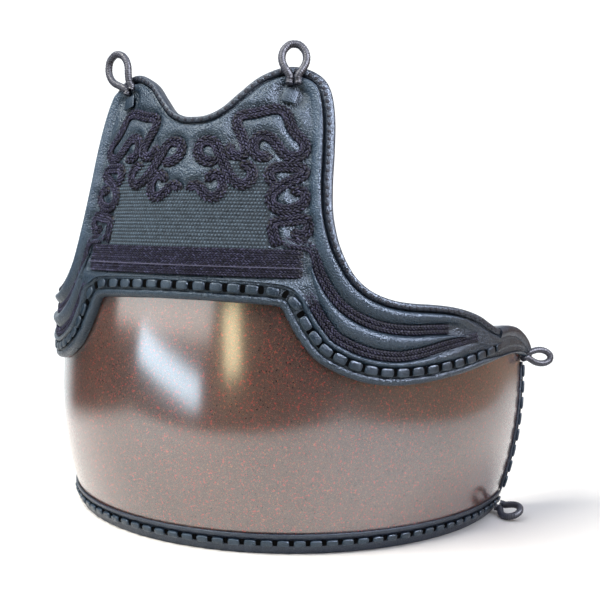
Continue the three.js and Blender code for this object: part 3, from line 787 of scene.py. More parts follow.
class GuardLeather(bpy.types.PropertyGroup):
    """Colours of the leather, and the pitches of the lacing and the stitches."""
    board_color: color_property("Board", "Leather of the padded board", (0.007, 0.018, 0.032))
    # The lighter board colour is a painted highlight on the pebble tops, ridges and puffs.
    board_highlight: color_property("Board ridges", "Board leather where it is rubbed", (0.05, 0.09, 0.15))
    edge_color: color_property("Edges", "Leather of the bands and caps", (0.012, 0.017, 0.03))
    # The lighter edge colour is a painted highlight on the pebble tops.
    edge_highlight: color_property("Edge ridges", "Edge leather where it is rubbed", (0.09, 0.1, 0.14))
    roughness: bpy.props.FloatProperty(
        name="Roughness", description="Roughness of all the leather",
        default=0.33, min=0.1, max=0.9, subtype="FACTOR")
    loop_color: color_property("Loops", "Rolled leather of the tying loops", (0.02, 0.022, 0.032))
    lace_pitch: bpy.props.FloatProperty(
        name="Lacing pitch", description="Distance from slit to slit along the board",
        default=0.0118, min=0.005, max=0.03, unit="LENGTH")
    stitch_pitch: bpy.props.FloatProperty(
        name="Stitch pitch", description="Distance from stitch to stitch along the edge band",
        default=0.0058, min=0.003, max=0.02, unit="LENGTH")


class GuardCords(bpy.types.PropertyGroup):
    """Colours of the cords and the woven panel, and the pitch of the braid."""
    cord_color: color_property("Cord", "Shaded strands of the braid", (0.004, 0.004, 0.014))
    cord_light: color_property("Cord light", "Lighter strands of the braid", (0.014, 0.013, 0.04))
    # The thread colour is a painted highlight on the fibres atop the braid's stitches.
    cord_thread: color_property("Cord threads", "Pale threads on the braid's stitches", (0.26, 0.26, 0.46))
    weave_color: color_property("Weave", "Cotton of the woven panel", (0.052, 0.08, 0.108))
    stitch: bpy.props.FloatProperty(
        name="Braid pitch", description="Length of the braid from one leaf stitch to the next",
        default=0.0029, min=0.001, max=0.01, unit="LENGTH")


# Operators

def crest(part, lean=0.62):
    """Profile of a padded ridge, fullest nearer its start."""
    return np.sin(math.pi * np.asarray(part, float) ** lean) ** 0.85


# Heights of the soft forms above the board's face
ROLL_RISE = 4.8
RIDGE_RISE = 4.6
LOW_RIDGE_RISE = 3.0
FIELD_RISE = 0.6

# Rows of the board's surface from the roll down to the lacing, which puff up between the cords
PUFFED_ROWS = slice(12, 87)


def padded_surface(number, low, top):
    """Rows of the padded board across each rib: places, lifts and a painted shade from valley to ridge."""
    share = np.abs(number)
    flat = np.zeros_like(number)
    groove = by_rib(GROOVE, number)
    roll_end = by_rib(UPPER_CORD, number) - BED / 2
    low_bed = by_rib(LOWER_CORD, number) - BED / 2
    roll = soft(ramp(share, 5.5, 8.5)) * fade(number)
    ridge = soft(ramp(share, 13.2, 16)) * fade(number)
    low_ridge = soft(ramp(share, 8.5, 12)) * fade(number)
    wing = soft(ramp(share, 13, 15.5)) * fade(number)
    squeeze = soft(ramp(share, CAP_RIB - 2, CAP_RIB))
    rows = []

    def add(places, lift, shade, along):
        """A row at places, which at the tips moves to a share of the way up."""
        angle, height = between(places, between(low.places, top.places, along), squeeze)
        rows.append((angle, height, lift + flat, shade + flat))

    under = top.beside(-EDGE_INSET)
    for part in np.linspace(0, 1, 5):
        rows.append((*between(low.places, under, part), SEAT_GAP + flat, flat))
    add(under, BOARD_THICK - 0.4, 0.3, 0.97)
    add(top.beside(-groove + 1.2), BOARD_THICK - 0.4, 0.1, 0.8)
    add(top.beside(-groove), BOARD_THICK - 1.2, 0.0, 0.78)
    add(top.beside(-groove - 0.4), BOARD_THICK - 0.6, 0.0, 0.77)
    add(top.beside(-groove - 0.7), BOARD_THICK + 0.4 * roll, 0.3, 0.76)
    for part in parts(18):
        bulge = roll * crest(part)
        lift = BOARD_THICK + ROLL_RISE * bulge
        lift = lift + (1 - roll) * 0.9 * math.sin(math.pi / 2 * min(1, part * 2.2))
        lift = lift + roll * (1 - wing) * FIELD_RISE * part
        distance = groove + 0.8 + (roll_end - groove - 0.8) * part
        add(top.beside(-distance), lift, 0.34 + 0.5 * bulge, 0.76 - 0.18 * part)
    for part in parts(5):
        dip = 0.5 * wing * math.sin(math.pi * part)
        lift = BOARD_THICK - dip + (1 - wing) * FIELD_RISE
        add(top.beside(-(roll_end + BED * part)), lift, 0.34 - 0.22 * wing, 0.58 - 0.08 * part)
    upper = top.beside(-(roll_end + BED))
    lower = low.beside(low_bed + BED)
    for part in parts(46):
        bulge = ridge * crest(part, 0.7)
        level = FIELD_RISE * (1 - ridge) * (1 - ramp(part, 0.85, 1.0) * low_ridge)
        add(between(upper, lower, part), BOARD_THICK + RIDGE_RISE * bulge + level,
            0.34 + 0.5 * bulge, 0.5 - 0.16 * part)
    for part in parts(5):
        dip = 0.4 * low_ridge * math.sin(math.pi * part)
        lift = BOARD_THICK - dip + (1 - low_ridge) * FIELD_RISE * (1 - part)
        add(low.beside(low_bed + BED * (1 - part)), lift, 0.34 - 0.22 * low_ridge, 0.34 - 0.08 * part)
    for part in parts(9):
        bulge = low_ridge * crest(part, 0.8)
        distance = 12.9 + (low_bed - 12.9) * (1 - part)
        add(low.beside(distance), BOARD_THICK + LOW_RIDGE_RISE * bulge, 0.36 + 0.45 * bulge,
            0.26 - 0.08 * part)
    strip = [(12.6, -0.4, 0.2), (12.1, -0.7, 0.1), (9.4, -0.7, 0.1), (6.6, -0.7, 0.1),
             (5.9, -1.0, 0.0), (5.5, -1.2, 0.0), (5.1, -0.6, 0.15), (4.6, 0.2, 0.42), (3.8, 0.5, 0.5),
             (2.9, 0.45, 0.5), (1.9, 0.1, 0.5), (1.1, -0.6, 0.45), (0.45, -1.6, 0.35), (0.1, -2.8, 0.2),
             (0, -4.0, 0.1)]
    for distance, lift, shade in strip:
        add(low.beside(distance), BOARD_THICK + lift, shade, 0.0144 * distance)
    return tuple(np.stack(column, axis=1) for column in zip(*rows))


class GUARD_OT_barrel(bpy.types.Operator):
    """Model the smooth lacquered barrel wall"""
    bl_idname = "guard.barrel"
    bl_label = "Barrel"

    def execute(self, context):
        look = context.scene.guard_lacquer
        number, low, top = rib_columns(6)
        share = np.abs(number)
        at_tip = ramp(share, CAP_RIB - 2, CAP_RIB)
        rim = low.angle * RIM_SIDE_ANGLE / SIDE_ANGLE, np.full_like(low.angle, RIM_HEIGHT)
        shoulder = between(low.beside(LACE_BAND), between(low.places, top.places, 0.4), at_tip)
        end = top.beside(-SHELL_INSET - (EDGE_INSET - SHELL_INSET) * at_tip)
        end = (end[0], end[1] - EDGE_INSET * ramp(share, LAST_RIB - 1, LAST_RIB))
        rows = [between(rim, shoulder, part) for part in np.linspace(0, 1, 40)]
        rows += [between(shoulder, end, part) for part in parts(17)]
        angle, height = (np.stack(column, axis=1) for column in zip(*rows))
        angle = clear_of_sides(number, angle, height)
        inside = on_face(angle, height, -WALL)[:, ::-1]
        points = np.concatenate([on_face(angle, height), inside], axis=1)
        lacquer = shared_material("lacquer", lambda: lacquer_finish(look))
        skin("barrel", points, lacquer, "lacquered_barrel", ["body_shell"], wrap=True, angle=50)
        return {"FINISHED"}


def cord_runs():
    """Every sewn double cord: node name, width and run."""
    number, low, top = rib_columns(4)
    from_top = top.beside(-by_rib(UPPER_CORD, number))
    from_low = low.beside(by_rib(LOWER_CORD, number))

    def wing_pairs(places, first, last):
        pick = [int(np.argmin(np.abs(number - rib))) for rib in np.arange(first, last + 0.01, 0.5)]
        return [(places[0][i], places[1][i]) for i in pick]

    runs = []
    for half, side in HALVES:
        routes = [(f"cloud_{scroll}", CLOUD_WIDTH, route(pairs)) for scroll, pairs in CLOUD_CORDS.items()]
        routes += [
            ("upper_wing_cord", WING_WIDTH, route(UPPER_WING_HEAD) + wing_pairs(from_top, 15.5, 24)),
            ("lower_wing_cord", WING_WIDTH, wing_pairs(from_low, 10.5, 26)),
        ]
        for name, width, pairs in routes:
            runs.append((f"{name}_{half}", width, smooth_run(pairs, CORD_STEP, side)))
    for row in range(3):
        run = level_run(ROW_TOP - ROW_SPACING * (row + 0.5), ROW_ANGLE, 400).stepped(CORD_STEP)
        runs.append((f"row_cord_{row + 1}", ROW_WIDTH, run))
    return runs


def weave_top(angle):
    """Upper edge of the woven panel: lower behind the curls in the middle, higher at the sides."""
    return np.interp(np.abs(angle), [0, 8.6, 10.4, 17.2, 19], [257.5, 254, 276, 276, 272])


def over_weave(angle, height, margin=0.0):
    """Share of the woven panel at places: one on it, none beside it."""
    inside = soft(ramp(WEAVE_ANGLE + margin / 3.6 - np.abs(angle), -0.2, 0.2))
    below = soft(ramp(weave_top(angle) + margin - height, -0.8, 0.8))
    return inside * below * soft(ramp(height - ROW_TOP, -0.8, 0.4))


def on_patch(side, round_by, up_by, lift):
    """A point on the face, by its distance from the middle of a square patch's seat."""
    seat = np.array(side * PATCH_ANGLE), risen(PATCH_UP)
    return on_face(*moved(*seat, round_by, up_by), lift)


class GUARD_OT_board(bpy.types.Operator):
    """Model the padded leather board with its rolls, beds and puffs between the cords"""
    bl_idname = "guard.board"
    bl_label = "Padded board"

    def execute(self, context):
        number, low, top = rib_columns(7)
        angle, height, lift, shade = padded_surface(number, low, top)
        sewn = np.vstack([
            on_face(run.angle[::3], run.height[::3], BOARD_THICK) for name, _, run in cord_runs()
            if name.startswith(("cloud", "row"))
        ] + [
            on_patch(side, 6 * math.cos(turn), 6 * math.sin(turn), BOARD_THICK)
            for side in (1, -1) for turn in np.linspace(0, 2 * np.pi, 17)[:-1]
        ])
        flat = on_face(angle, height, BOARD_THICK).reshape(-1, 3)
        near = np.concatenate([
            np.linalg.norm(flat[start:start + 4000, None] - sewn[None], axis=-1).min(axis=1)
            for start in range(0, len(flat), 4000)
        ]).reshape(angle.shape) / MM
        inner = np.zeros(angle.shape[1])
        inner[PUFFED_ROWS] = 1
        puff = soft(ramp(near, 4.0, 8.8)) * 1.6 - 1.0 * (1 - soft(ramp(near, 3.4, 5.2)))
        puff = puff * (1 - ramp(np.abs(number), 13, 16)[:, None]) * inner
        field = over_weave(angle, height) * inner
        lift = (lift + puff) * (1 - field) + (BOARD_THICK - 0.3) * field
        # Painted light on the puffs: lighter where they swell, darker in the dips at the seams.
        shade = shade + 0.2 * puff
        points = on_face(clear_of_sides(number, angle, height), height, lift)
        board = skin(
            "padded_board", points, board_leather(), "board_leather", ["chest_board"],
            wrap=True, shade=np.clip(shade, 0, 1), angle=60,
        )
        return {"FINISHED"}


# Section of the edge band: shares of its width inward, and lifts
BAND_SECTION = [
    (0, SEAT_GAP), (0, 5.2), (0.03, 6.6), (0.11, 7.7), (0.26, 8.45), (0.46, 8.7), (0.66, 8.5),
    (0.84, 8.2), (0.94, 7.75), (1, 7.0), (0.98, 6.25), (0.25, 6.25), (0.25, SEAT_GAP),
]


# Stitches of the edge band: length, width and height
STITCH_SIZE = (2.4, 3.0, 1.3)


class GUARD_OT_edge_band(bpy.types.Operator):
    """Model the leather band round the board's upper edge and its row of stitches"""
    bl_idname = "guard.edge_band"
    bl_label = "Edge band"

    def execute(self, context):
        look = context.scene.guard_leather
        number, _, top = rib_columns(10, CAP_RIB)
        groove = by_rib(GROOVE, number)
        pitch = look.stitch_pitch / MM
        wave = np.cos(2 * np.pi * top.arc / pitch)
        columns = []
        for share, lift in BAND_SECTION:
            angle, height = top.beside(-share * (groove - 0.25))
            pulled = 0.32 * wave * (0.35 < share < 0.95) * (lift > 7)
            columns.append(on_face(angle, height, lift - pulled))
        skin("edge_band", np.stack(columns, axis=1), edge_leather(), "edge_leather", ["board_band"],
             wrap=True, angle=60)
        arc = np.arange(1, int(top.arc[-1] / pitch)) * pitch
        width = np.interp(arc, top.arc, groove)
        frames = face_frames(top.at(arc), -width * 0.62, 8.4)
        draw = random.Random(5)
        long, wide, high = (size * MM for size in STITCH_SIZE)
        sizes = [(long * draw.uniform(0.85, 1.15), wide * draw.uniform(0.85, 1.1), high) for _ in arc]
        stitches = repeated(pebble_template(8), frames, sizes)
        finished(stitches, "edge_stitches", stitch_thread())
        return {"FINISHED"}


# Lacing: the gap between two lengths of thong and the slit in it, along the run; the middle of
# each thong from its leather's edge, and its width; and how much wider than on the chest the
# slits are apart on the wings and the sides
PAD_GAP = 3.3
SLIT = 3.6
BOARD_THONG_INSET = 9.5
BOARD_THONG_WIDTH = 6.0
RIM_THONG_HEIGHT = 9.3
RIM_THONG_WIDTH = 4.8
SIDE_THONG_INSET = 4.6
SIDE_THONG_WIDTH = 4.6
WING_PITCH = 1.14
SIDE_PITCH = 1.1


def even_marks(length, pitch):
    """Arc lengths that part a run into equal steps of about a pitch."""
    return np.linspace(0, length, int(round(length / pitch)) + 1)


def laced(name, run, marks, side, lift, width, node, seed):
    """A thong laced through slits: a row of puffed lengths with a near-black block painted as each slit's
    shade.
    """
    draw = random.Random(seed)
    steps = np.diff(marks)
    frames = face_frames(run.at(marks[:-1] + steps / 2), side, lift - 0.5)
    scales = [((step - PAD_GAP) * MM, width * MM * draw.uniform(0.95, 1.04),
               0.0024 * draw.uniform(0.9, 1.1)) for step in steps]
    pads = repeated(cushion_template(0.3, 4), frames, scales)
    finished(pads, name, thong_leather(), [node], 60)
    # Painted shade in the slits between the lengths of thong.
    frames = face_frames(run.at(marks[1:-1]), side, lift - 0.3)
    scales = [(SLIT * MM, width * 0.94 * MM, 0.0006)] * (len(marks) - 2)
    slits = repeated(cushion_template(0.2, 1), frames, scales)
    finished(slits, name + "_slits", painted_slit_shade())


def side_line(side, start, end):
    """The barrel's side edge between two heights."""
    height = np.linspace(start, end, 60)
    corner = float(risen(RIBS[-1, 1]))
    angle = RIM_SIDE_ANGLE + (SIDE_ANGLE - RIM_SIDE_ANGLE) * height / corner
    return Run(side * angle, height)


class GUARD_OT_lacing(bpy.types.Operator):
    """Lace the thong along the board's lower edge, the rim and both sides"""
    bl_idname = "guard.lacing"
    bl_label = "Lacing"

    def execute(self, context):
        pitch = context.scene.guard_leather.lace_pitch / MM
        number, low, _ = rib_columns(12, CAP_RIB)
        chest_start, chest_end = np.interp([-8, 8], number, low.arc)
        marks = np.concatenate([
            even_marks(chest_start, pitch * WING_PITCH),
            chest_start + even_marks(chest_end - chest_start, pitch)[1:],
            chest_end + even_marks(low.arc[-1] - chest_end, pitch * WING_PITCH)[1:],
        ])
        laced("board_lacing", low, marks, BOARD_THONG_INSET, BOARD_THICK, BOARD_THONG_WIDTH,
              "board_thong", 1)
        rim = level_run(RIM_THONG_HEIGHT, RIM_SIDE_ANGLE - 0.4, 900)
        laced("rim_lacing", rim, even_marks(rim.arc[-1], pitch), 0, EDGE_INSET, RIM_THONG_WIDTH,
              "rim_thong", 2)
        for half, side in HALVES:
            line = side_line(side, RIM_BAND_HEIGHT + 1, SIDE_LACING_TOP)
            marks = even_marks(line.arc[-1], pitch * SIDE_PITCH)
            laced(f"side_lacing_{half}", line, marks, side * SIDE_THONG_INSET, EDGE_INSET + GAP,
                  SIDE_THONG_WIDTH, f"side_thong_{half}", 3)
        return {"FINISHED"}


class GUARD_OT_rim_leather(bpy.types.Operator):
    """Fold leather round the rim, the side edges and the corners"""
    bl_idname = "guard.rim_leather"
    bl_label = "Rim and side leather"

    def execute(self, context):
        lean = math.atan(BELLY_DEPTH * float(girth(np.array(0.0))[1]))
        back = -WALL / math.cos(lean) - 3 * GAP
        section = [
            (1.3, 0), (1.75, 0.5), (1.8, 1.4), (1.85, 5.6), (1.75, 6.2), (1.35, 6.5), (1.3, 11.9),
            (1.7, 12.2), (2.0, 12.7), (2.05, 14.2), (1.8, 15.1), (1.2, 15.5), (0.35, 15.5), (0.3, 8),
            (0.3, 2), (back, 2), (back, 12.8), (back - 0.5, 13), (back - 1.1, 12.8), (back - 1.5, 12),
            (back - 1.5, 0.6), (back - 1.1, 0),
        ]
        angle = np.linspace(-RIM_SIDE_ANGLE, RIM_SIDE_ANGLE, 367)
        points = np.stack([
            on_face(angle, np.full_like(angle, height), lift, level=True) for lift, height in section
        ], axis=1)
        skin("rim_binding", points, edge_leather(), "edge_leather", ["rim_band"], wrap=True, angle=50)
        inner = -WALL - 3 * GAP
        for half, side in HALVES:
            line = side_line(side, RIM_BAND_HEIGHT + GAP, SIDE_BAND_TOP)
            fold = [
                (0, inner - 0.9), (0, 0.9), (0.3, 1.5), (1.0, 1.8), (6.9, 1.8), (7.7, 1.6), (8, 1.1),
                (8, 0.35), (1.5, 0.35), (1.5, inner), (8, inner), (8, inner - 1.1), (7.4, inner - 1.5),
                (0.8, inner - 1.5),
            ]
            points = laid(line, [(side * distance, lift) for distance, lift in fold])
            skin(f"side_binding_{half}", points, edge_leather(), "edge_leather",
                 [f"side_band_{half}"], wrap=True, angle=50)
            self.cap(half, side)
        return {"FINISHED"}

    def cap(self, half, side):
        """The leather folded over a wing's tip."""
        tops = [(angle, float(risen(share))) for angle, share in RIBS[CAP_RIB:, 2:]]
        tip = tops[-1]
        foot = (RIBS[-1, 0], float(risen(RIBS[-1, 1])))
        tops[0] = between(tops[0], tops[1], 0.06)
        tops += [between(tip, foot, part) for part in (0.5, 0.82)]
        run = smooth_run(tops, 0.8, side)
        back = -WALL - GAP
        fold = [
            (0, back - 0.5), (0.25, 2), (0.2, 5.6), (-0.1, 7.2), (-0.8, 8.3), (-2, 9.1), (-3.6, 9.5),
            (-5.2, 9.2), (-6.8, 8.5), (-7.8, 7.7), (-CAP_WIDTH, 7.0), (-CAP_WIDTH + 0.1, 6.8),
            (-1.5, 6.8), (-1.5, back), (-6.4, back), (-6.4, back - 1.3), (-5, back - 1.6),
            (-1, back - 1.4),
        ]
        points = laid(run, [(side * distance, lift) for distance, lift in fold])
        skin(f"corner_fold_{half}", points, edge_leather(), "edge_leather",
             [f"corner_cap_{half}"], wrap=True, angle=60)


class GUARD_OT_weave(bpy.types.Operator):
    """Weave the rice-grain panel in the middle of the board"""
    bl_idname = "guard.weave"
    bl_label = "Woven panel"

    def execute(self, context):
        look = context.scene.guard_cords
        # Painted shade: the cloth under the grains is 0.4 times as bright as the grains.
        ground = shared_material("weave_ground", lambda: weave_finish(look, "cotton_ground_shaded", 0.4))
        cotton = shared_material("weave", lambda: weave_finish(look, "rice_grain_cotton", 1.0))
        bottom = ROW_TOP - 0.4
        angle = np.linspace(-WEAVE_ANGLE, WEAVE_ANGLE, 150)
        heights = [bottom + (weave_top(angle) - bottom) * part for part in np.linspace(0, 1, 18)]
        face = [on_face(angle, height, BOARD_THICK + 0.75) for height in heights]
        under = [on_face(angle, height, BOARD_THICK + 0.1) for height in heights]
        points = np.stack(face + under[::-1], axis=1)
        panel = skin("woven_panel_cloth", points, ground, "woven_cloth", ["woven_panel"], wrap=True)
        draw = random.Random(11)
        places = []
        columns = int(2 * WEAVE_ANGLE / np.degrees(GRAIN_ROUND / HALF_WIDTH)) + 4
        for row in range(GRAIN_ROWS):
            height = bottom + GRAIN_UP * (row + 0.55)
            wide = float(round_scale(np.array(0.0), np.array(height)))
            for column in range(-columns // 2, columns // 2 + 1):
                place = math.degrees(GRAIN_ROUND * (column + 0.5 * (row % 2)) / wide)
                if abs(place) < WEAVE_ANGLE - 0.3 and height < weave_top(place) - 0.6:
                    places.append((place, height))
        place, height = np.array(places).T
        out = normals(place, height)
        point = on_face(place, height, BOARD_THICK + 0.8)
        along = unit(np.cross((0, 0, 1), out))
        across = np.cross(out, along)
        spreads = ((0.88, 1.1), (0.88, 1.1), (0.75, 1.15))
        scales = [[size * MM * draw.uniform(*spread) for size, spread in zip(GRAIN_SIZE, spreads)]
                  for _ in places]
        grains = repeated(pebble_template(7), (point, along, across, out), scales)
        finished(grains, "woven_grains", cotton, angle=80)
        self.area(panel)
        return {"FINISHED"}

    def area(self, panel):
        """Area of one face of the cloth, in square metres."""
        return sum(polygon.area for polygon in panel.data.polygons) / 2


# Braid: how far each leaf stitch turns out of the cord's line and dips at its end, in radians; its
# length and width as shares of the cord's width, and its height; and the length over which a
# cord's end narrows and sinks, and how far it sinks
LEAF_SLANT = math.radians(28)
LEAF_DIP = 0.16
LEAF_LENGTH = 0.6
LEAF_WIDTH = 0.215
LEAF_HEIGHT = 2.2
CORD_END = 3.6
CORD_SINK = 1.2


def braid(run, base, pitch, width, seed):
    """Two braids side by side on a run of the board's face, each a herringbone of leaf stitches."""
    draw = random.Random(seed)
    total = run.arc[-1]
    pieces = []

    def fullness(arc):
        """One along the cord, falling to nought at its ends."""
        return soft(ramp(np.minimum(arc, total - arc), 0.0, CORD_END))

    def strand(hand, full):
        """Distance of one of the two braids from the cord's middle."""
        return hand * width * 0.25 * (0.6 + 0.4 * full)

    for hand in (1, -1):
        for row in (1, -1):
            marks = np.arange(pitch * (0.45 if row > 0 else 0.95), total - 0.3 * pitch, pitch)
            full = fullness(marks)
            lift = np.interp(marks, run.arc, base) + 0.75 - CORD_SINK * (1 - full)
            point, along, across, out = face_frames(
                run.sampled(marks), strand(hand, full) + row * width * 0.118, lift)
            leaf = along * math.cos(LEAF_SLANT) + across * math.sin(LEAF_SLANT) * row
            leaf = leaf * math.cos(LEAF_DIP) - out * math.sin(LEAF_DIP)
            beside = unit(np.cross(out, leaf))
            long, wide, high = width * LEAF_LENGTH * MM, width * LEAF_WIDTH * MM, LEAF_HEIGHT * MM
            scales = [(long * (0.55 + 0.45 * part), wide * draw.uniform(0.92, 1.06),
                       high * draw.uniform(0.9, 1.1)) for part in full]
            # Each stitch gets a random tone times a painted shade, light on top and dark below.
            tints = [draw.uniform(0.72, 1.0) for _ in marks]
            frames = point, leaf, beside, np.cross(leaf, beside)
            pieces.append(repeated(pebble_template(7), frames, scales, tints))
        # The core under each braid is painted in full shade, so the gaps between stitches read dark.
        full = fullness(run.arc)
        core = on_face(*run.beside(strand(hand, full)), base + 0.2 - CORD_SINK * (1 - full))
        rings = tube(core, normals(*run.places), width * 0.23, 0.9, 6)
        pieces.append(grid_skin(rings, wrap=True, shade=np.zeros(rings.shape[:2])))
    return joined(pieces)


class GUARD_OT_cords(bpy.types.Operator):
    """Braid the double cords of the clouds, the rows and the wings"""
    bl_idname = "guard.cords"
    bl_label = "Cords"

    def execute(self, context):
        pitch = context.scene.guard_cords.stitch / MM
        for seed, (node, width, run) in enumerate(cord_runs()):
            raised = np.convolve(np.pad(over_weave(run.angle, run.height, 3.0), 6, mode="edge"),
                                 np.ones(13) / 13, mode="valid")
            piece = braid(run, BOARD_THICK + raised, pitch * width / CLOUD_WIDTH, width, seed)
            name = node.replace("cord", "braid") if "cord" in node else node + "_braid"
            finished(piece, name, cord_material(), [node], 80)
        line = level_run(ROW_TOP - 2 * ROW_SPACING, ROW_ANGLE, 300)
        rings = tube(on_face(*line.places, BOARD_THICK + 2.3), normals(*line.places), 0.32, 0.3, 6)
        thread = dark_finish("pale_thread", (0.06, 0.06, 0.1), 0.5)
        skin("row_thread", rings, thread, "braided_cord", wrap=True, angle=80)
        return {"FINISHED"}


# Leather loops: the seat in degrees and share of the board's rise, its lift, and shares outward,
# round towards the side edge and up of the directions in which it leaves, rings round and opens
LOOPS = {
    "horn_loop_left": dict(
        side=1, angle=22.3, up=0.912, lift=9.2, leave=(0, 0, 1), along=(0, 0, 1), across=(0, 1, 0),
        length=30, width=23, bow=2.4),
    "horn_loop_right": dict(
        side=-1, angle=22.8, up=0.912, lift=9.2, leave=(0, 0, 1), along=(0.4, 0.8, 1),
        across=(0, 1, -0.8), length=34, width=26, bow=2.4),
    "upper_side_loop_left": dict(
        side=1, angle=93, up=-0.287, lift=3.4, leave=(0.3, 0.95, 0), along=(0.82, 0.55, -0.15),
        across=(0, 0, 1), length=27, width=17, bow=0),
    "lower_side_loop_left": dict(
        side=1, angle=86, up=-1.034, lift=4.5, leave=(1, 0, 0.2), along=(0.72, -0.6, 0.2),
        across=(0, 0.9, 0.44), length=25, width=21, bow=0),
}
for loop_name in ("upper_side_loop", "lower_side_loop"):
    LOOPS[loop_name + "_right"] = dict(LOOPS[loop_name + "_left"], side=-1)
LOOP_RADIUS = 2.7
LOOP_SIDES = 14

# One leg of a loop: shares of its length, of its half width and of its bow
LOOP_SHAPE = [(0.1, 0.33, 0.6), (0.25, 0.62, 1), (0.42, 0.9, 1), (0.6, 1, 1), (0.78, 0.89, 1),
              (0.92, 0.58, 1), (0.985, 0.25, 1)]


class GUARD_OT_loops(bpy.types.Operator):
    """Roll the six leather tying loops"""
    bl_idname = "guard.loops"
    bl_label = "Leather loops"

    def execute(self, context):
        look = context.scene.guard_leather
        rolled = shared_material("loop", lambda: loop_finish(look))
        for name, loop in LOOPS.items():
            self.loop(name, rolled, **loop)
        return {"FINISHED"}

    def loop(self, name, rolled, side, angle, up, lift, leave, along, across, length, width, bow):
        seat = np.array(side * angle, float), np.array(float(risen(up)))
        out = normals(*seat)
        around = unit(np.cross((0, 0, 1), out))
        rise = np.cross(out, around)
        around *= side
        leave, along, across = (
            unit(out * shares[0] + around * shares[1] + rise * shares[2])
            for shares in (leave, along, across)
        )
        across = unit(across - along * np.dot(across, along))
        start = on_face(*seat, lift) / MM + leave * 2 * GAP
        neck = LOOP_RADIUS + GAP
        half = width / 2 - LOOP_RADIUS
        legs = []
        for hand in (1, -1):
            leg = [start + across * hand * neck, start + across * hand * neck + leave * LOOP_RADIUS]
            for reach, opening, bowed in LOOP_SHAPE:
                leg.append(
                    start + leave * LOOP_RADIUS + along * reach * (length - LOOP_RADIUS)
                    + across * hand * half * opening
                    + out * bowed * bow
                )
            legs.append(leg)
        path = catmull(legs[0] + legs[1][::-1], 9) * MM
        steps = np.linalg.norm(np.diff(path, axis=0), axis=1)
        arc = np.concatenate([[0], np.cumsum(steps)])
        count = int(arc[-1] / 0.0006)
        even = np.linspace(0, arc[-1], count)
        path = np.stack([np.interp(even, arc, path[:, axis]) for axis in range(3)], axis=1)
        turn = 2 * np.pi * np.arange(LOOP_SIDES) / LOOP_SIDES
        wound = 1 + 0.035 * np.sin(even[:, None] / MM * 2.9 + turn[None])
        plane = np.broadcast_to(np.cross(along, across), path.shape)
        rings = tube(path, plane, LOOP_RADIUS, LOOP_RADIUS, LOOP_SIDES, wound)
        skin(name.replace("loop", "leather_loop"), rings, rolled, "loop_leather", [name], 80,
             arc_uv=(even, np.linspace(0, 1, LOOP_SIDES + 1)), wrap=True)


class GUARD_OT_patches(bpy.types.Operator):
    """Sew the two square patches under the horn loops"""
    bl_idname = "guard.patches"
    bl_label = "Patches"

    def execute(self, context):
        for half, side in HALVES:
            deselect()
            bpy.ops.mesh.primitive_cube_add(size=1)
            patch = context.object
            bpy.ops.object.mode_set(mode="EDIT")
            bpy.ops.mesh.select_all(action="SELECT")
            bpy.ops.transform.resize(value=(PATCH_SIZE, PATCH_SIZE, 1.3))
            bpy.ops.mesh.bevel(offset=0.55, segments=3, affect="EDGES")
            bpy.ops.object.mode_set(mode="OBJECT")
            turn = -side * math.radians(PATCH_TURN)
            for vertex in patch.data.vertices:
                x, y, z = vertex.co
                near_x, near_y = (max(0.0, 1 - (value * 2 / PATCH_SIZE) ** 2) for value in (x, y))
                pillow = 0.35 * near_x * near_y if z > 0 else 0
                round_by = x * math.cos(turn) - y * math.sin(turn)
                up_by = x * math.sin(turn) + y * math.cos(turn)
                vertex.co = on_patch(side, round_by, up_by, BOARD_THICK + PATCH_LIFT + z + pillow)
            finished(patch, f"square_patch_{half}", thong_leather(), [f"patch_{half}"], 50)
        return {"FINISHED"}


# Studio lights: place, size and aim in metres, power in watts and roll in degrees; only a diffuse
# one shows outside reflections
LIGHTS = {
    "window": dict(place=(-0.37, -0.67, 0.084), size=(0.48, 0.085), aim=(-0.01, -0.134, 0.13),
                   power=1.0, color=(0.68, 0.86, 1.0), roll=-14),
    "glow": dict(place=(-0.7, -0.95, 0.36), size=(1.3, 0.36), aim=(0, -0.134, 0.16),
                 power=4.2, color=(1.0, 0.96, 0.92)),
    "warm_strip": dict(place=(0.03, -1.32, 0.2), size=(0.17, 0.3), aim=(0.042, -0.128, 0.158),
                       power=1.05, color=(1.0, 0.86, 0.52), roll=12),
    "sky_panel": dict(place=(-0.6, -0.9, 1.6), size=(1.0, 1.0), aim=(0, 0, 0.15),
                      power=48, color=(1.0, 0.98, 0.94), diffuse=True),
    "right_panel": dict(place=(1.3, -0.4, 1.08), size=(1.4, 0.45), aim=(0.05, -0.05, 0.28),
                        power=100, color=(0.82, 0.84, 1.0)),
}


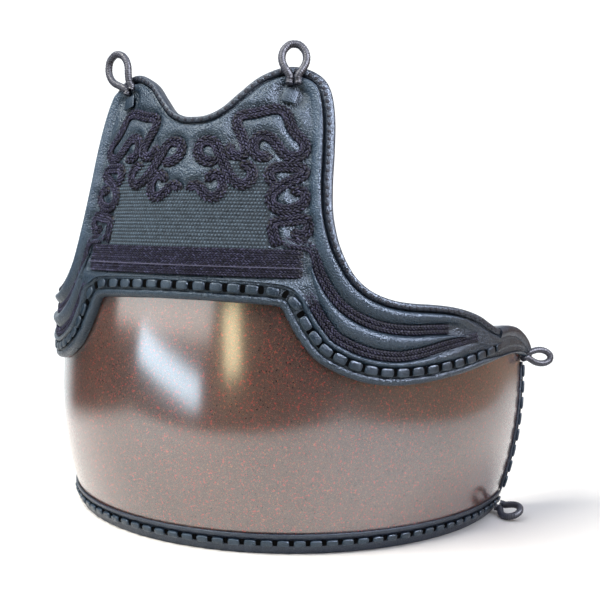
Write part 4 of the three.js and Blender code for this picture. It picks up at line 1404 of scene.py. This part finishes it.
class GUARD_OT_stage(bpy.types.Operator):
    """Set the floor, the lights and the camera"""
    bl_idname = "guard.stage"
    bl_label = "Stage"

    def execute(self, context):
        deselect()
        bpy.ops.mesh.primitive_plane_add(size=8, location=(0, 0, 0))
        floor = context.object
        floor.name = "floor"
        pale = Finish("pale_floor", Roughness=0.6, Specular_IOR_Level=0.25)
        mottled = pale.noise(3, detail=2)
        aside, forward = (pale.apart(pale.coordinates(), axis) for axis in (0, 1))
        pale.feed(
            Base_Color=pale.mix(mottled, (0.9, 0.87, 0.81), (0.92, 0.89, 0.84)),
            Alpha=(forward.ramp(-0.47, -0.4) * forward.ramp(1.1, 0.6)
                   * aside.ramp(0.62, 0.55) * aside.ramp(-0.6, -0.34)),
        )
        floor.data.materials.append(pale.material)
        self.world(context)
        for name, light in LIGHTS.items():
            self.area(name, **light)
        self.camera(context)
        return {"FINISHED"}

    def world(self, context):
        """A pale backdrop behind the guard, a soft sky and a dim room in front."""
        world = bpy.data.worlds.new("studio")
        context.scene.world = world
        world.use_nodes = True
        made = Shading(world.node_tree)
        direction = made.node("ShaderNodeTexCoord", output="Generated")

        def toward(axis, low, high):
            """Share of the way from one closeness to an axis to another."""
            near = made.node("ShaderNodeVectorMath", {"operation": "DOT_PRODUCT"},
                             {0: direction, 1: axis}, "Value")
            return near.ramp(low, high)

        room = made.mix(toward((0.9, 0.43, 0), 0.2, 0.9), (0.07, 0.06, 0.06), (0.45, 0.32, 0.24))
        sky = made.mix(toward((0, 0, 1), 0.25, 0.75), room, (0.8, 0.86, 1.0))
        backdrop = made.mix(toward((-0.545, 0.839, 0), 0.76, 0.93), sky, (1.12, 1.18, 1.2))
        seen = made.node("ShaderNodeLightPath", output="Is Camera Ray")
        color = made.mix(seen, backdrop, (1.15, 1.18, 1.2))
        made.tree.links.new(color.socket, made.tree.nodes["Background"].inputs["Color"])

    def area(self, name, place, size, aim, power, color, roll=0, diffuse=False):
        data = bpy.data.lights.new(name, "AREA")
        data.shape = "RECTANGLE"
        data.size, data.size_y = size
        data.energy = power
        data.color = color
        lamp = bpy.data.objects.new(name, data)
        bpy.context.scene.collection.objects.link(lamp)
        lamp.location = place
        aimed = (Vector(aim) - Vector(place)).to_track_quat("-Z", "Y").to_matrix()
        lamp.rotation_euler = (aimed @ Matrix.Rotation(math.radians(roll), 3, "Z")).to_euler()
        lamp.visible_diffuse = diffuse

    def camera(self, context):
        """A view from the front left and a little above."""
        azimuth, elevation, roll = (math.radians(value) for value in (22.82, 3.37, 1.53))
        distance = 0.8412
        target = Vector((0, CENTRE_Y * MM + 0.0024, 0.1705))
        right = Vector((math.cos(azimuth), math.sin(azimuth), 0))
        back = Vector((
            math.sin(azimuth) * math.cos(elevation),
            -math.cos(azimuth) * math.cos(elevation),
            math.sin(elevation),
        ))
        up = back.cross(right)
        right = right * math.cos(roll) + up * math.sin(roll)
        up = back.cross(right)
        data = bpy.data.cameras.new("photo_view")
        data.sensor_width = 36
        data.lens = 54
        data.clip_start = 0.05
        data.clip_end = 50
        view = bpy.data.objects.new("photo_view", data)
        context.scene.collection.objects.link(view)
        view.matrix_world = Matrix.Translation(target + back * distance) @ Matrix((
            right, up, back)).transposed().to_4x4()
        context.scene.camera = view
        context.scene.view_settings.view_transform = "Standard"


class GUARD_PT_panel(bpy.types.Panel):
    """Lists the guard's settings and pieces"""
    bl_idname = "GUARD_PT_panel"
    bl_label = "Chest guard"
    bl_space_type = "VIEW_3D"
    bl_region_type = "UI"
    bl_category = "Chest guard"

    def draw(self, context):
        for settings in ("guard_lacquer", "guard_leather", "guard_cords"):
            group = getattr(context.scene, settings)
            box = self.layout.box()
            for key in group.bl_rna.properties.keys():
                if key not in ("rna_type", "name"):
                    box.prop(group, key)
        for operator in OPERATORS:
            self.layout.operator(operator.bl_idname)


SETTINGS = {"guard_lacquer": GuardLacquer, "guard_leather": GuardLeather, "guard_cords": GuardCords}
OPERATORS = (
    GUARD_OT_barrel, GUARD_OT_board, GUARD_OT_edge_band, GUARD_OT_lacing, GUARD_OT_rim_leather,
    GUARD_OT_weave, GUARD_OT_cords, GUARD_OT_patches, GUARD_OT_loops, GUARD_OT_stage,
)


def register():
    for key, group in SETTINGS.items():
        bpy.utils.register_class(group)
        setattr(bpy.types.Scene, key, bpy.props.PointerProperty(type=group))
    for operator in OPERATORS:
        bpy.utils.register_class(operator)
    bpy.utils.register_class(GUARD_PT_panel)


def unregister():
    bpy.utils.unregister_class(GUARD_PT_panel)
    for operator in reversed(OPERATORS):
        bpy.utils.unregister_class(operator)
    for key, group in SETTINGS.items():
        delattr(bpy.types.Scene, key)
        bpy.utils.unregister_class(group)


def main():
    register()
    for operator in OPERATORS:
        family, name = operator.bl_idname.split(".")
        getattr(getattr(bpy.ops, family), name)()


if __name__ == "__main__":
    main()
